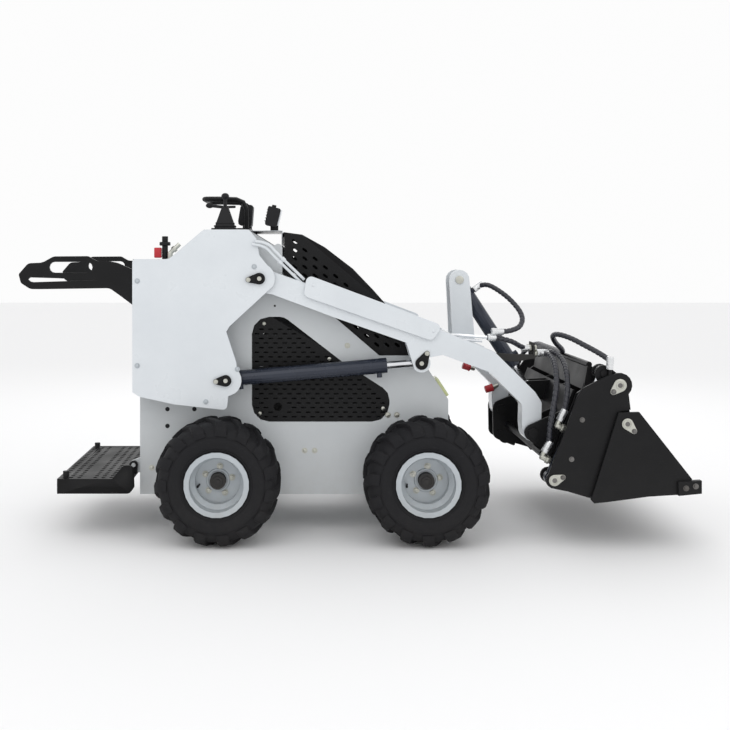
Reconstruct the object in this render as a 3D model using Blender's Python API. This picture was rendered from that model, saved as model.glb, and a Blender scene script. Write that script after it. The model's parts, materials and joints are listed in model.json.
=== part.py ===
"""Compact stand-on skid steer loader with lift arms and a clam bucket.

Units are metres, +Z is up, +X is forward and -Y is the machine's right side.  Side views are drawn
as (x, z) points measured from the rear axle's centre line at ground level, and the empty named
machine puts that point so that the whole model stands centred on the origin.
"""

import math

import bmesh
import bpy
from mathutils import Matrix, Vector

# ---- driving dimensions -------------------------------------------------------------------------
REAR_AXLE_X = -0.48613         # rear axle from the model's origin
FIT = 0.0003                   # gap between pieces that touch
BORE_FIT = 0.0005              # gap round a pin that turns in its bore
RUN = 0.0055                   # gap between pieces that pass each other

WHEELBASE = 0.754
TYRE_RADIUS = 0.2285
TYRE_HALF_WIDTH = 0.108
WHEEL_Y = 0.417                # centre plane of each wheel
RIM_SEAT = 0.1013
RIM_FLANGE = 0.1155
RIM_HALF_WIDTH = 0.096
DISC_HALF = 0.004
SPINDLE_RADIUS = 0.029
AXLE_RADIUS = 0.050
WHEEL_STEPS = 24

HULL_HALF = 0.255              # outer face of the hull side plates
HULL_PLATE = 0.006
HULL_BOTTOM = 0.140
HULL_REAR = -0.310
HULL_FRONT = 0.859
PANEL = 0.003                  # thin folded panels
DECK_TOP = 1.140

COVER_OUTER = 0.366            # outer face of the outer covers
COVER_PLATE = 0.008
COVER_REAR = -0.3215
HANDLE_PLATE = 0.012

ARM_INNER = 0.272
ARM_OUTER = 0.350
ARM_COVER = 0.0135             # how far the arm covers stand proud
PIN_RADIUS = 0.019

ARM_PIVOT = (0.147, 0.959)
LIFT_BASE = (0.023, 0.583)
LIFT_EYE = (0.747, 0.6445)
TILT_BASE = (0.931, 0.948)
TILT_EYE = (1.212, 0.5145)
BUCKET_PIVOT = (1.155, 0.391)
LATCH_PIN = (1.149, 0.287)
CLAM_BASE = (1.201, 0.245)
CLAM_EYE = (1.383, 0.622)
JAW_HINGE = (1.434, 0.5825)
JAW_PIN = (1.455, 0.448)
HOOD_HINGE = (0.2370, 1.1270)
PLATFORM_HINGE = (-0.337, 0.247)

BRACKET_HALF = 0.0245          # half the slot that a lift rod's eye swings in
LIFT_Y = 0.5 * (ARM_INNER + ARM_OUTER)
CLAM_Y = 0.4535

BUCKET_SIDE_OUTER = 0.506
BUCKET_PLATE = 0.012
JAW_SIDE_INNER = BUCKET_SIDE_OUTER + RUN
JAW_SIDE_OUTER = JAW_SIDE_INNER + BUCKET_PLATE
CUTTING_EDGE_OUTER = 0.535
LEVER_INNER = (0.425, 0.437)   # the jaw lever's two plates, each from y to y
LEVER_OUTER = (0.470, 0.482)
RIB_OUTER = (0.400, 0.412)
RIB_INNER = (0.130, 0.142)

SIDES = {"right": -1, "left": 1}


# ---- outlines -----------------------------------------------------------------------------------
def arc(centre, radius, start, end, steps):
    """Points on a circle in the side view, angles in degrees."""
    turns = [math.radians(start + (end - start) * k / steps) for k in range(steps + 1)]
    return [(centre[0] + radius * math.cos(t), centre[1] + radius * math.sin(t)) for t in turns]


def rounded(*corners):
    """Outline through corners (x, z) or (x, z, radius), with an arc at each corner that has a radius."""
    points = []
    for i, corner in enumerate(corners):
        if len(corner) == 2:
            points.append(corner)
            continue
        here = Vector(corner[:2])
        before = (Vector(corners[i - 1][:2]) - here).normalized()
        after = (Vector(corners[(i + 1) % len(corners)][:2]) - here).normalized()
        half = before.angle(after) / 2
        radius = corner[2]
        centre = here + (before + after).normalized() * radius / math.sin(half)
        start = here + before * radius / math.tan(half) - centre
        end = here + after * radius / math.tan(half) - centre
        first = math.atan2(start.y, start.x)
        sweep = (math.atan2(end.y, end.x) - first + math.pi) % (2 * math.pi) - math.pi
        steps = max(1, math.ceil(abs(sweep) / math.radians(30)))
        points += arc(centre, radius, math.degrees(first), math.degrees(first + sweep), steps)
    return points


def around(*discs, steps=16):
    """Convex outline wrapped round discs (x, z, radius)."""
    cloud = []
    for x, z, radius in discs:
        cloud += arc((x, z), radius, 0, 360 - 360 / steps, steps - 1)
    cloud = sorted(set((round(x, 7), round(z, 7)) for x, z in cloud))
    chains = []
    for run in (cloud, cloud[::-1]):
        chain = []
        for p in run:
            while len(chain) > 1 and turn(chain[-2], chain[-1], p) <= 1e-9:
                chain.pop()
            chain.append(p)
        chains.append(chain[:-1])
    return chains[0] + chains[1]


def turn(a, b, c):
    return (b[0] - a[0]) * (c[1] - a[1]) - (b[1] - a[1]) * (c[0] - a[0])


def offset_line(line, distance):
    """An open line moved sideways by distance, to its left, with mitred corners."""
    points = [Vector(p) for p in line]
    moved = []
    for i, p in enumerate(points):
        before = (p - points[i - 1]).normalized() if i > 0 else None
        after = (points[i + 1] - p).normalized() if i < len(points) - 1 else None
        before = before or after
        after = after or before
        normal = (Vector((-before.y, before.x)) + Vector((-after.y, after.x))).normalized()
        reach = distance / normal.dot(Vector((-after.y, after.x)))
        moved.append(tuple(p + normal * reach))
    return moved


def sheet(line, thickness):
    """Closed outline of a bent sheet whose one face follows line and whose other lies to its left."""
    return list(line) + offset_line(line, thickness)[::-1]


# ---- solids -------------------------------------------------------------------------------------
def solid(bm, name="piece"):
    bmesh.ops.recalc_face_normals(bm, faces=bm.faces)
    mesh = bpy.data.meshes.new(name)
    bm.to_mesh(mesh)
    bm.free()
    piece = bpy.data.objects.new(name, mesh)
    bpy.context.scene.collection.objects.link(piece)
    return piece


def slab(outline, y_from, y_to):
    """A side-view outline given thickness along Y."""
    low, high = sorted((y_from, y_to))
    bm = bmesh.new()
    face = bm.faces.new([bm.verts.new((x, low, z)) for x, z in outline])
    grown = bmesh.ops.extrude_face_region(bm, geom=[face])
    top = [v for v in grown["geom"] if isinstance(v, bmesh.types.BMVert)]
    bmesh.ops.translate(bm, verts=top, vec=(0, high - low, 0))
    return solid(bm)


def block(x_from, x_to, y_from, y_to, z_from, z_to):
    return slab([(x_from, z_from), (x_to, z_from), (x_to, z_to), (x_from, z_to)], y_from, y_to)


def disc(centre, radius, y_from, y_to, steps=16):
    return slab(arc(centre, radius, 0, 360 - 360 / steps, steps - 1), y_from, y_to)


def turned(profile, steps, closed=False):
    """Profile points (along, radius) turned about the X axis.  An open profile starts and ends on it."""
    bm = bmesh.new()
    rings = []
    for along, radius in profile:
        if radius == 0:
            rings.append([bm.verts.new((along, 0, 0))])
            continue
        turns = [2 * math.pi * (k + 0.5) / steps for k in range(steps)]
        rings.append([bm.verts.new((along, radius * math.sin(t), radius * math.cos(t))) for t in turns])
    pairs = list(zip(rings, rings[1:]))
    if closed:
        pairs.append((rings[-1], rings[0]))
    for one, two in pairs:
        for k in range(steps):
            corners = [one[k % len(one)], one[(k + 1) % len(one)], two[(k + 1) % len(two)], two[k % len(two)]]
            bm.faces.new(list(dict.fromkeys(corners)))
    return solid(bm)


def rod_between(start, end, radius, steps=12):
    """A round bar from point to point in space."""
    start, end = Vector(start), Vector(end)
    bm = bmesh.new()
    bmesh.ops.create_cone(bm, cap_ends=True, segments=steps, radius1=radius, radius2=radius,
                          depth=(end - start).length)
    aim = (end - start).to_track_quat("Z", "Y").to_matrix().to_4x4()
    bmesh.ops.transform(bm, matrix=Matrix.Translation((start + end) / 2) @ aim, verts=bm.verts)
    return solid(bm)


def combine(operation, piece, tools):
    """Boolean of piece with each tool in turn; the tools are used up."""
    for tool in tools:
        step = piece.modifiers.new("step", "BOOLEAN")
        step.operation = operation
        step.solver = "EXACT"
        step.object = tool
    bpy.context.view_layer.update()
    shape = piece.evaluated_get(bpy.context.evaluated_depsgraph_get())
    mesh = bpy.data.meshes.new_from_object(shape)
    piece.modifiers.clear()
    piece.data = mesh
    for tool in tools:
        bpy.data.objects.remove(tool)
    return piece


def fuse(piece, *others):
    return combine("UNION", piece, others)


def cut(piece, *cutters):
    return combine("DIFFERENCE", piece, cutters)


def hole(centre, radius, y_from, y_to, steps=16):
    """A cutter for a round hole through what lies between y_from and y_to."""
    low, high = sorted((y_from, y_to))
    return disc(centre, radius, low - 0.01, high + 0.01, steps)


# ---- naming, placing, colouring -----------------------------------------------------------------
def finish(name, colour, roughness, metallic=0.0):
    made = bpy.data.materials.get(name) or bpy.data.materials.new(name)
    made.use_nodes = True
    shader = made.node_tree.nodes["Principled BSDF"]
    shader.inputs["Base Color"].default_value = (*colour, 1)
    shader.inputs["Roughness"].default_value = roughness
    shader.inputs["Metallic"].default_value = metallic
    return made


WHITE = ("white_paint", (0.68, 0.71, 0.74), 0.35)
GREY = ("grey_paint", (0.58, 0.60, 0.61), 0.40)
BLACK = ("black_paint", (0.012, 0.012, 0.013), 0.45)
BARREL = ("barrel_paint", (0.035, 0.045, 0.075), 0.35)
CHROME = ("chrome", (0.75, 0.76, 0.78), 0.12, 1.0)
RUBBER = ("rubber", (0.012, 0.012, 0.014), 0.80)
RIM_PAINT = ("rim_paint", (0.48, 0.51, 0.54), 0.40)
IRON = ("cast_iron", (0.12, 0.12, 0.12), 0.60, 0.6)
HOSE = ("hose_wrap", (0.020, 0.021, 0.026), 0.55)


def pivot(name, place, y=0.0, slope=0.0, parent=None):
    """An empty on a joint's axis; slope turns its X axis up from the horizontal, in degrees."""
    empty = bpy.data.objects.new(name, None)
    bpy.context.scene.collection.objects.link(empty)
    empty.parent = parent
    turned_up = Matrix.Rotation(-math.radians(slope), 4, "Y")
    world = Matrix.Translation((place[0], y, place[1])) @ turned_up
    empty.matrix_parent_inverse = Matrix.Identity(4)
    empty.matrix_basis = (parent_place(parent).inverted() @ world) if parent else world
    empty["place"] = [value for row in world for value in row]
    return empty


def parent_place(parent):
    rows = list(parent["place"])
    return Matrix([rows[0:4], rows[4:8], rows[8:12], rows[12:16]])


def name_piece(piece, name, look, parent, local=False):
    """Names a solid, gives it its own material and hangs it on an empty.  A piece that is modelled
    in machine coordinates has its mesh moved so that its origin is the empty's; a local one isn't."""
    piece.name = name
    piece.data.name = name
    piece.data.materials.clear()
    piece.data.materials.append(finish(f"{look[0]}_{name}", *look[1:]))
    if not local:
        piece.data.transform(parent_place(parent).inverted())
    piece.parent = parent
    piece.matrix_parent_inverse = Matrix.Identity(4)
    if piece.type == "MESH":
        piece.data.shade_smooth()
        piece.data.set_sharp_from_angle(angle=math.radians(35))
    return piece


# ---- hull ---------------------------------------------------------------------------------------
DECK_LINE = [(COVER_REAR, 1.031), (-0.187, 1.031), (-0.059, DECK_TOP), (0.109, DECK_TOP)]
DECK_UNDER = offset_line(DECK_LINE, -(PANEL + FIT))
FRONT_LINE = [(HULL_FRONT, HULL_BOTTOM + HULL_PLATE + FIT), (HULL_FRONT, 0.499), (0.788, 0.605), (0.7405, 0.680)]
DASH_FRONT = 0.2295
HOOD_LINE = [(0.2370, 1.1330), (0.305, 1.124), (0.391, 1.076), (0.498, 0.994), (0.5765, 0.912),
             (0.640, 0.840), (0.697, 0.757), (0.7385, 0.6885)]


def hull_outline():
    inner_top = [p for p in DECK_UNDER if p[0] > HULL_REAR]
    return (rounded((HULL_REAR, HULL_BOTTOM), (HULL_FRONT, HULL_BOTTOM, 0.02), (HULL_FRONT, 0.499, 0.02),
                    (0.788, 0.605), FRONT_LINE[-1], (0.732, 0.665), (0.597, 0.665), (0.429, 0.809),
                    (DASH_FRONT, 0.975), (DASH_FRONT, 1.1365, 0.016))
            + [(0.1095, 1.1365)] + inner_top[::-1] + [(HULL_REAR, inner_top[0][1])])


def grille_opening(grow=0.0):
    g = grow
    return rounded((0.114 - g, 0.414 - g, 0.065), (0.636 + g, 0.414 - g, 0.065 + g), (0.636 + g, 0.527 + g, 0.055),
                   (0.5795, 0.563 + g), (0.4525, 0.645 + g), (0.236, 0.812 + g, 0.05), (0.114 - g, 0.812 + g, 0.065))


def hull_side(side):
    inner, outer = side * (HULL_HALF - HULL_PLATE), side * HULL_HALF
    plate = slab(hull_outline(), inner, outer)
    openings = [slab(grille_opening(), side * 0.23, side * 0.27)]
    openings += [hole((x, TYRE_RADIUS), AXLE_RADIUS + 0.0012, inner, outer, 20) for x in (0, WHEELBASE)]
    return cut(plate, *openings)


def side_grille(side):
    outer = HULL_HALF - HULL_PLATE - FIT
    return slab(grille_opening(0.012), side * (outer - PANEL), side * outer)


def belly_pan():
    half = HULL_HALF - HULL_PLATE - FIT
    return block(HULL_REAR, HULL_FRONT, -half, half, HULL_BOTTOM, HULL_BOTTOM + HULL_PLATE)


def front_plate():
    half = HULL_HALF - HULL_PLATE - FIT
    return slab(sheet(FRONT_LINE, HULL_PLATE), -half, half)


def rear_panel_lower():
    half = HULL_HALF - HULL_PLATE - FIT
    ears = [slab(around((*PLATFORM_HINGE, 0.016), (HULL_REAR + 0.002, 0.262, 0.012), (HULL_REAR + 0.002, 0.225, 0.012)),
                 side * 0.215, side * 0.227) for side in (-1, 1)]
    pins = [disc(PLATFORM_HINGE, 0.008, side * 0.220, side * 0.245, 12) for side in (-1, 1)]
    panel = block(HULL_REAR, HULL_REAR + HULL_PLATE, -half, half, HULL_BOTTOM + HULL_PLATE + FIT, 0.600)
    return fuse(panel, *ears, *pins)


def rear_panel_upper():
    half = COVER_OUTER - COVER_PLATE - HANDLE_PLATE - 2 * FIT
    return block(COVER_REAR, COVER_REAR + HULL_PLATE, -half, half, 0.5355, DECK_UNDER[0][1])


def rear_deck():
    half = COVER_OUTER - COVER_PLATE - FIT
    return slab(sheet(DECK_LINE, -PANEL), -half, half)


def dash_panel():
    half = HULL_HALF - HULL_PLATE - FIT
    line = [(0.1093, DECK_TOP - 0.0005), (DASH_FRONT, DECK_TOP - 0.0005), (DASH_FRONT, 1.085)]
    return slab(sheet(line, -PANEL), -half, half)


def engine_block():
    body = slab(rounded((0.16, 0.215, 0.02), (0.58, 0.215, 0.02), (0.58, 0.60, 0.03), (0.50, 0.72, 0.03),
                        (0.26, 0.80, 0.03), (0.16, 0.80, 0.03)), -0.18, 0.18)
    feet = [block(x, x + 0.06, -0.15, 0.15, HULL_BOTTOM + HULL_PLATE + FIT, 0.23) for x in (0.20, 0.46)]
    return fuse(body, *feet)


def axle(x):
    """A tube across the hull with a flange outside each side plate and a spindle for each wheel."""
    half = [(HULL_HALF + FIT, AXLE_RADIUS), (HULL_HALF + FIT, AXLE_RADIUS + 0.022),
            (HULL_HALF + 0.014, AXLE_RADIUS + 0.022), (HULL_HALF + 0.020, AXLE_RADIUS), (0.310, AXLE_RADIUS),
            (0.320, SPINDLE_RADIUS), (WHEEL_Y + 0.030, SPINDLE_RADIUS), (WHEEL_Y + 0.030, 0)]
    bar = turned([(-y, r) for y, r in half[::-1]] + half, 20)
    bar.data.transform(Matrix.Translation((x, 0, TYRE_RADIUS)) @ Matrix.Rotation(math.pi / 2, 4, "Z"))
    return bar


def outer_cover(side):
    """The white cover plate with the arm's pivot pin and the lift cylinder's base pin fixed in it."""
    lobe = arc(ARM_PIVOT, 0.0575, 60, -30, 6)
    low_lobe = arc(LIFT_BASE, 0.058, 45, -55, 6)
    outline = (rounded((-0.167, 0.495), (-0.295, 0.523, 0.02), (COVER_REAR, 0.540), (COVER_REAR, 1.031, 0.012),
                       (-0.187, 1.031, 0.03), (-0.059, DECK_TOP, 0.03), (0.109, DECK_TOP, 0.02), (0.1355, 1.1065))
               + [(0.147, 1.045)] + lobe + [(0.037, 0.783), (0.025, 0.763), (0.062, 0.650)] + low_lobe
               + rounded((0.032, 0.525), (0.027, 0.4755, 0.015), (0.009, 0.4755)))
    outer, inner = side * COVER_OUTER, side * (COVER_OUTER - COVER_PLATE)
    plate = slab(outline, inner, outer)
    pins = [disc(place, PIN_RADIUS, side * (HULL_HALF + FIT), side * (COVER_OUTER + 0.006))
            for place in (ARM_PIVOT, LIFT_BASE)]
    return fuse(plate, *pins)


def hood():
    """Folded sheet over the engine, open below, hinged along its top rear edge."""
    half = HULL_HALF - HULL_PLATE - RUN
    skin = slab(sheet(HOOD_LINE, -PANEL), -half, half)
    inner = offset_line(HOOD_LINE, -0.5 * PANEL)
    wall_line = inner + [(0.725, 0.655), (0.585, 0.652), (0.42, 0.790), (0.2370, 0.945)]
    walls = [slab(wall_line, side * (half - PANEL), side * half) for side in (-1, 1)]
    knuckle = disc(HOOD_HINGE, DASH_REACH, -0.20, 0.20, 12)
    return fuse(skin, *walls, knuckle)


DASH_REACH = HOOD_HINGE[0] - DASH_FRONT - FIT


def platform():
    """Step that folds up about its hinge: a deck with a side plate at each end and two rubber stops."""
    half, top = 0.340, 0.2145
    deck = block(-0.600, -0.325, -half + 0.005, half - 0.005, top - 0.004, top)
    edge = block(-0.605, -0.597, -half + 0.001, half - 0.001, 0.160, top + 0.0005)
    plates = [slab(rounded((-0.605, 0.160), (-0.335, 0.160, 0.02), (-0.318, 0.185, 0.01),
                           (PLATFORM_HINGE[0] + 0.016, 0.262, 0.014), (PLATFORM_HINGE[0] - 0.020, 0.267, 0.02),
                           (-0.40, top + 0.001), (-0.605, top + 0.001)),
                   side * half, side * (half - 0.006)) for side in (-1, 1)]
    hangers = [slab(around((*PLATFORM_HINGE, 0.016), (-0.350, 0.212, 0.006), (-0.332, 0.212, 0.006)),
                    side * 0.2285, side * 0.2405) for side in (-1, 1)]
    stops = [rod_between((-0.58, side * 0.30, top - 0.002), (-0.58, side * 0.30, top + 0.022), 0.012)
             for side in (-1, 1)]
    ribs = [block(x, x + 0.004, -half + 0.003, half - 0.003, 0.175, top - 0.001) for x in (-0.50, -0.40)]
    step = fuse(deck, edge, *plates, *hangers, *stops, *ribs)
    return cut(step, *[hole(PLATFORM_HINGE, 0.0083, side * 0.2285, side * 0.2405, 12) for side in (-1, 1)])


def rear_handle(side):
    """Cut plate inside the cover that reaches back past it, with an oblong slot and a slit to hold."""
    outer = COVER_OUTER - COVER_PLATE - FIT
    plate = slab(rounded((-0.743, 0.975, 0.010), (-0.7346, 0.9425, 0.015), (-0.700, 0.920, 0.03), (-0.665, 0.9196),
                         (-0.4065, 0.9233, 0.03), (-0.362, 0.8914), (-0.3236, 0.8626), (-0.262, 0.8600),
                         (-0.262, 0.9930), (-0.3254, 0.9950), (-0.378, 1.0172, 0.03), (-0.4098, 1.0235),
                         (-0.4543, 1.0235, 0.03), (-0.4862, 1.0420, 0.02), (-0.6137, 1.0410, 0.02),
                         (-0.6551, 1.0180, 0.03), (-0.7076, 1.0157, 0.02)),
                 side * (outer - HANDLE_PLATE), side * outer)
    slot = slab(rounded((-0.6296, 0.9806, 0.0195), (-0.470, 0.9806, 0.0195), (-0.470, 1.0204, 0.0195),
                        (-0.6296, 1.0204, 0.0195)), side * 0.32, side * 0.37)
    slit = slab([(-0.700, 0.9480), (-0.690, 0.9456), (-0.600, 0.9485), (-0.451, 0.9530), (-0.600, 0.9600),
                 (-0.700, 0.9630), (-0.7087, 0.9560)], side * 0.32, side * 0.37)
    return cut(plate, slot, slit)


def console():
    """Deck box with the post that carries the display head."""
    base = block(-0.050, 0.100, -0.14, 0.14, DECK_TOP + FIT, DECK_TOP + 0.012)
    post = block(0.070, 0.090, -0.095, -0.025, DECK_TOP + 0.005, 1.19)
    head = slab(rounded((0.052, 1.166, 0.008), (0.106, 1.158, 0.008), (0.112, 1.242, 0.008), (0.066, 1.250, 0.008)),
                -0.108, -0.012)
    return fuse(base, post, head)


HANDLEBAR_Y = 0.122
HANDLEBAR_LEG = [(0.086, DECK_TOP + 0.0125), (0.087, 1.190), (0.086, 1.228), (0.073, 1.253), (0.046, 1.2640),
                 (-0.020, 1.266), (-0.058, 1.266)]


def handlebar():
    """Bent tube that stands on the deck box and crosses behind the controls."""
    leg = [(x, -HANDLEBAR_Y, z) for x, z in HANDLEBAR_LEG]
    across = [(-0.071, -HANDLEBAR_Y + 0.004, 1.266), (-0.079, -HANDLEBAR_Y + 0.016, 1.266)]
    line = leg + across
    line += [(x, -y, z) for x, y, z in line[::-1]]
    return tube(line, 0.010)


def joystick():
    x, y, z = 0.010, -0.215, DECK_TOP + FIT
    boot = turned([(0, 0), (0, 0.045), (0.012, 0.045), (0.034, 0.036), (0.058, 0.025), (0.079, 0.013),
                   (0.085, 0.007), (0.110, 0.007), (0.118, 0.016), (0.140, 0.018), (0.155, 0.012), (0.158, 0)], 16)
    boot.data.transform(Matrix.Translation((x, y, z)) @ Matrix.Rotation(-math.pi / 2, 4, "Y"))
    return boot


def work_light():
    lamp = slab(rounded((0.162, 1.162, 0.006), (0.207, 1.152, 0.006), (0.224, 1.222, 0.006), (0.176, 1.234, 0.006)),
                -0.245, -0.155)
    foot = block(0.183, 0.213, -0.212, -0.188, DECK_TOP - 0.0005 + FIT, 1.165)
    return fuse(lamp, foot)


# ---- arms ---------------------------------------------------------------------------------------
def lift_arm(side):
    """Bent box-section arm from its pivot to the bucket's pivot, with the lift cylinder's bracket."""
    outline = (arc(ARM_PIVOT, 0.052, 250, 70, 8) + [(0.1985, 0.983), (0.822, 0.766), (1.018, 0.687)]
               + rounded((1.167, 0.539), (1.192, 0.500, 0.02), (1.190, 0.440))
               + arc(BUCKET_PIVOT, 0.034, 15, -165, 8)
               + rounded((1.118, 0.4225), (1.120, 0.491, 0.02), (0.999, 0.612, 0.01), (0.826, 0.676))
               + arc(LIFT_EYE, 0.034, 40, -140, 8) + [(0.690, 0.7215), (0.426, 0.814), (0.195, 0.900)])
    inner, outer = side * ARM_INNER, side * ARM_OUTER
    arm = slab(outline, inner, outer)
    slot_outline = [(0.640, 0.600), (0.820, 0.600), (0.820, 0.700), (0.700, 0.744), (0.640, 0.766)]
    slot = slab(slot_outline, side * (LIFT_Y - BRACKET_HALF), side * (LIFT_Y + BRACKET_HALF))
    bores = [hole(place, PIN_RADIUS + BORE_FIT, inner, outer, 16) for place in (ARM_PIVOT, BUCKET_PIVOT)]
    return cut(arm, slot, *bores)


def arm_cover(side):
    line = rounded((0.310, 0.894, 0.02), (0.785, 0.728, 0.02), (0.825, 0.786, 0.02), (0.322, 0.974, 0.02))
    return slab(line, side * (ARM_OUTER + FIT), side * (ARM_OUTER + ARM_COVER))


CROSS_CENTRE = Vector((0.935, 0.683))
CROSS_ALONG = Vector((0.941, -0.339)).normalized()
CROSS_UP = Vector((-CROSS_ALONG.y, CROSS_ALONG.x))
CROSS_HALF = (0.052, 0.036)


def cross_point(along, up):
    return tuple(CROSS_CENTRE + CROSS_ALONG * along + CROSS_UP * up)


CROSS_FRONT = [cross_point(CROSS_HALF[0] + FIT, 0.026), cross_point(CROSS_HALF[0] + FIT, -0.020)]


def cross_tube():
    """Box tube between the arms, with the two tower plates and the pin of the tilt cylinder."""
    half = ARM_INNER - FIT
    a, b = CROSS_HALF
    corners = [cross_point(*c) for c in ((-a, -b), (a, -b), (a, b), (-a, b))]
    tube_box = slab(rounded(*[(*c, 0.008) for c in corners]), -half, half)
    outline = [cross_point(-0.047, b - 0.003), cross_point(0.050, b - 0.003)] + arc(TILT_BASE, 0.040, -5, 185, 8)
    towers = [slab(outline, side * 0.045, side * 0.057) for side in (-1, 1)]
    pin = disc(TILT_BASE, 0.015, -0.060, 0.060)
    return fuse(tube_box, *towers, pin)




# ---- hydraulic cylinders ------------------------------------------------------------------------
def barrel(radius, length, eye_radius, eye_half, bore, rod_radius, pin_radius, ports, boss, elbow):
    """Barrel along +X from its base eye, open at the gland so that the rod slides in it."""
    shell = turned([(0.010, 0), (0.010, radius * 0.8), (0.022, radius), (length, radius), (length, rod_radius + FIT),
                   (length - 0.016, rod_radius + FIT), (length - 0.016, bore), (0.040, bore), (0.040, 0)], 16)
    eye = disc((0, 0), eye_radius, -eye_half, eye_half)
    bosses = [rod_between((x, 0, up * (radius - 0.004)), (x, 0, up * (radius + boss)), 0.010, 10) for x, up in ports]
    bosses += [rod_between((x - 0.006, 0, up * (radius + boss - 0.005)), (x + elbow, 0, up * (radius + boss - 0.005)),
                           0.008, 10) for x, up in ports if elbow]
    body = fuse(shell, eye, *bosses)
    return cut(body, hole((0, 0), pin_radius + BORE_FIT, -eye_half, eye_half))


def rod(radius, bore, start, length, eye_radius, eye_half):
    """Piston and rod along +X, ending in the eye at length."""
    shaft = turned([(start, 0), (start, bore - FIT), (start + 0.018, bore - FIT), (start + 0.018, radius),
                    (length - 0.010, radius), (length - 0.010, 0)], 16)
    eye = disc((length, 0), eye_radius, -eye_half, eye_half)
    return fuse(shaft, eye)


CYLINDERS = {
    # name: base, eye, radius, barrel length, eye radius, eye half width, bore, rod radius, base pin, piston at,
    # ports (along, side), height of their bosses, length of the elbow on each port
    "lift": (LIFT_BASE, LIFT_EYE, 0.0285, 0.600, 0.028, 0.019, 0.0230, 0.0140, PIN_RADIUS, 0.160, ((0.05, -1), (0.57, -1)),
             0.014, 0),
    "tilt": (TILT_BASE, TILT_EYE, 0.0290, 0.414, 0.028, 0.020, 0.0235, 0.0140, 0.015, 0.120, ((0.07, 1), (0.375, 1)),
             0.014, 0),
    "clam": (CLAM_BASE, CLAM_EYE, 0.0240, 0.250, 0.026, 0.014, 0.0190, 0.0115, 0.012, 0.130, ((0.052, 1), (0.178, 1)),
             0.0415, 0.030),
}


def cylinder(kind, label, y, machine):
    base, eye, radius, length, eye_r, eye_half, bore, rod_r, pin_r, piston, ports, boss, elbow = CYLINDERS[kind]
    reach = Vector(eye) - Vector(base)
    slope = math.degrees(math.atan2(reach.y, reach.x))
    axis = pivot(f"{label}_pivot", base, y, slope, machine)
    shell = barrel(radius, length, eye_r, eye_half, bore, rod_r, pin_r, ports, boss, elbow)
    name_piece(shell, f"{label}_barrel", BARREL, axis, True)
    name_piece(rod(rod_r, bore, piston, reach.length, eye_r, eye_half), f"{label}_rod", CHROME, axis, True)


# ---- bucket -------------------------------------------------------------------------------------
ATTACH_FOOT = Vector((1.190, 0.262))
ATTACH_UP = Vector((0.344, 0.939)).normalized()
ATTACH_OUT = Vector((ATTACH_UP.y, -ATTACH_UP.x))
ATTACH_PLATE = 0.010
ATTACH_BOTTOM = 0.030           # lower edge of the plate, measured up from its foot
BACK_LINE = [(1.425, 0.600), (1.400, 0.540), (1.365, 0.450), (1.325, 0.355), (1.292, 0.280), (1.286, 0.238),
             (1.300, 0.206), (1.325, 0.190)]


def attach_point(up, out):
    return tuple(ATTACH_FOOT + ATTACH_UP * up + ATTACH_OUT * out)


def quick_attach():
    """Plate that the bucket hangs on, with the ears for the arm pins and for the tilt rod's eye."""
    face = [attach_point(ATTACH_BOTTOM, 0), attach_point(0.310, 0), attach_point(0.310, ATTACH_PLATE),
            attach_point(ATTACH_BOTTOM, ATTACH_PLATE)]
    plate = slab(face, -0.390, 0.390)
    top = (*attach_point(0.225, 0.004), 0.005)
    short_ear = around((*BUCKET_PIVOT, 0.031), (*attach_point(0.062, 0.004), 0.005), top)
    long_ear = around((*BUCKET_PIVOT, 0.036), (*LATCH_PIN, 0.028), (1.208, 0.240, 0.006), top)
    ears = [slab(ear, side * a, side * (a + 0.012)) for side, ear in ((-1, short_ear), (1, long_ear))
            for a in (0.250, 0.358)]
    lug = around((*TILT_EYE, 0.030), (*attach_point(0.225, 0.004), 0.005), (*attach_point(0.300, 0.004), 0.005))
    lugs = [slab(lug, side * 0.028, side * 0.040) for side in (-1, 1)]
    heads = [disc(TILT_EYE, 0.016, side * 0.036, side * 0.048, 12) for side in (-1, 1)]
    pins = [disc(BUCKET_PIVOT, PIN_RADIUS, side * 0.246, side * 0.376) for side in (-1, 1)]
    lock = disc(LATCH_PIN, 0.012, 0.246, 0.376, 12)
    bar = rod_between((1.182, -0.40, 0.322), (1.182, 0.40, 0.322), 0.011, 10)
    return fuse(plate, *ears, *lugs, *heads, *pins, lock, bar)


def bucket_back():
    """Back blade, the ribs between it and the quick attach, and the spill guard above it."""
    half = BUCKET_SIDE_OUTER - BUCKET_PLATE - FIT
    blade = slab(sheet(BACK_LINE, 0.008), -half, half)
    pockets = [block(1.20, 1.50, side * 0.415, side * 0.52, 0.470, 0.70) for side in (-1, 1)]
    blade = cut(blade, *pockets)
    near = ATTACH_PLATE + FIT
    front = offset_line(BACK_LINE, 0.004)
    inner = [attach_point(ATTACH_BOTTOM, near), attach_point(0.300, near), (1.395, 0.560)] + front[1:6]
    outer = [attach_point(0, near), attach_point(0.300, near), (1.330, 0.560), (1.344, 0.642), (1.362, 0.640),
             (1.370, 0.600), front[0]] + front[1:6]
    ribs = [slab(inner, side * RIB_INNER[0], side * RIB_INNER[1]) for side in (-1, 1)]
    ribs += [slab(outer, side * RIB_OUTER[0], side * RIB_OUTER[1]) for side in (-1, 1)]
    base = around((*CLAM_BASE, 0.028), (1.235, 0.255, 0.015))
    tabs = [slab(base, side * RIB_OUTER[0], side * RIB_OUTER[1]) for side in (-1, 1)]
    reach = RIB_OUTER[0] + 0.002
    bar = rod_between((1.353, -reach, 0.646), (1.353, reach, 0.646), 0.011, 10)
    panel = slab([(1.3265, 0.556), (1.3315, 0.556), (1.3545, 0.645), (1.3495, 0.645)], -reach, reach)
    return fuse(blade, *ribs, *tabs, bar, panel)


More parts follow.
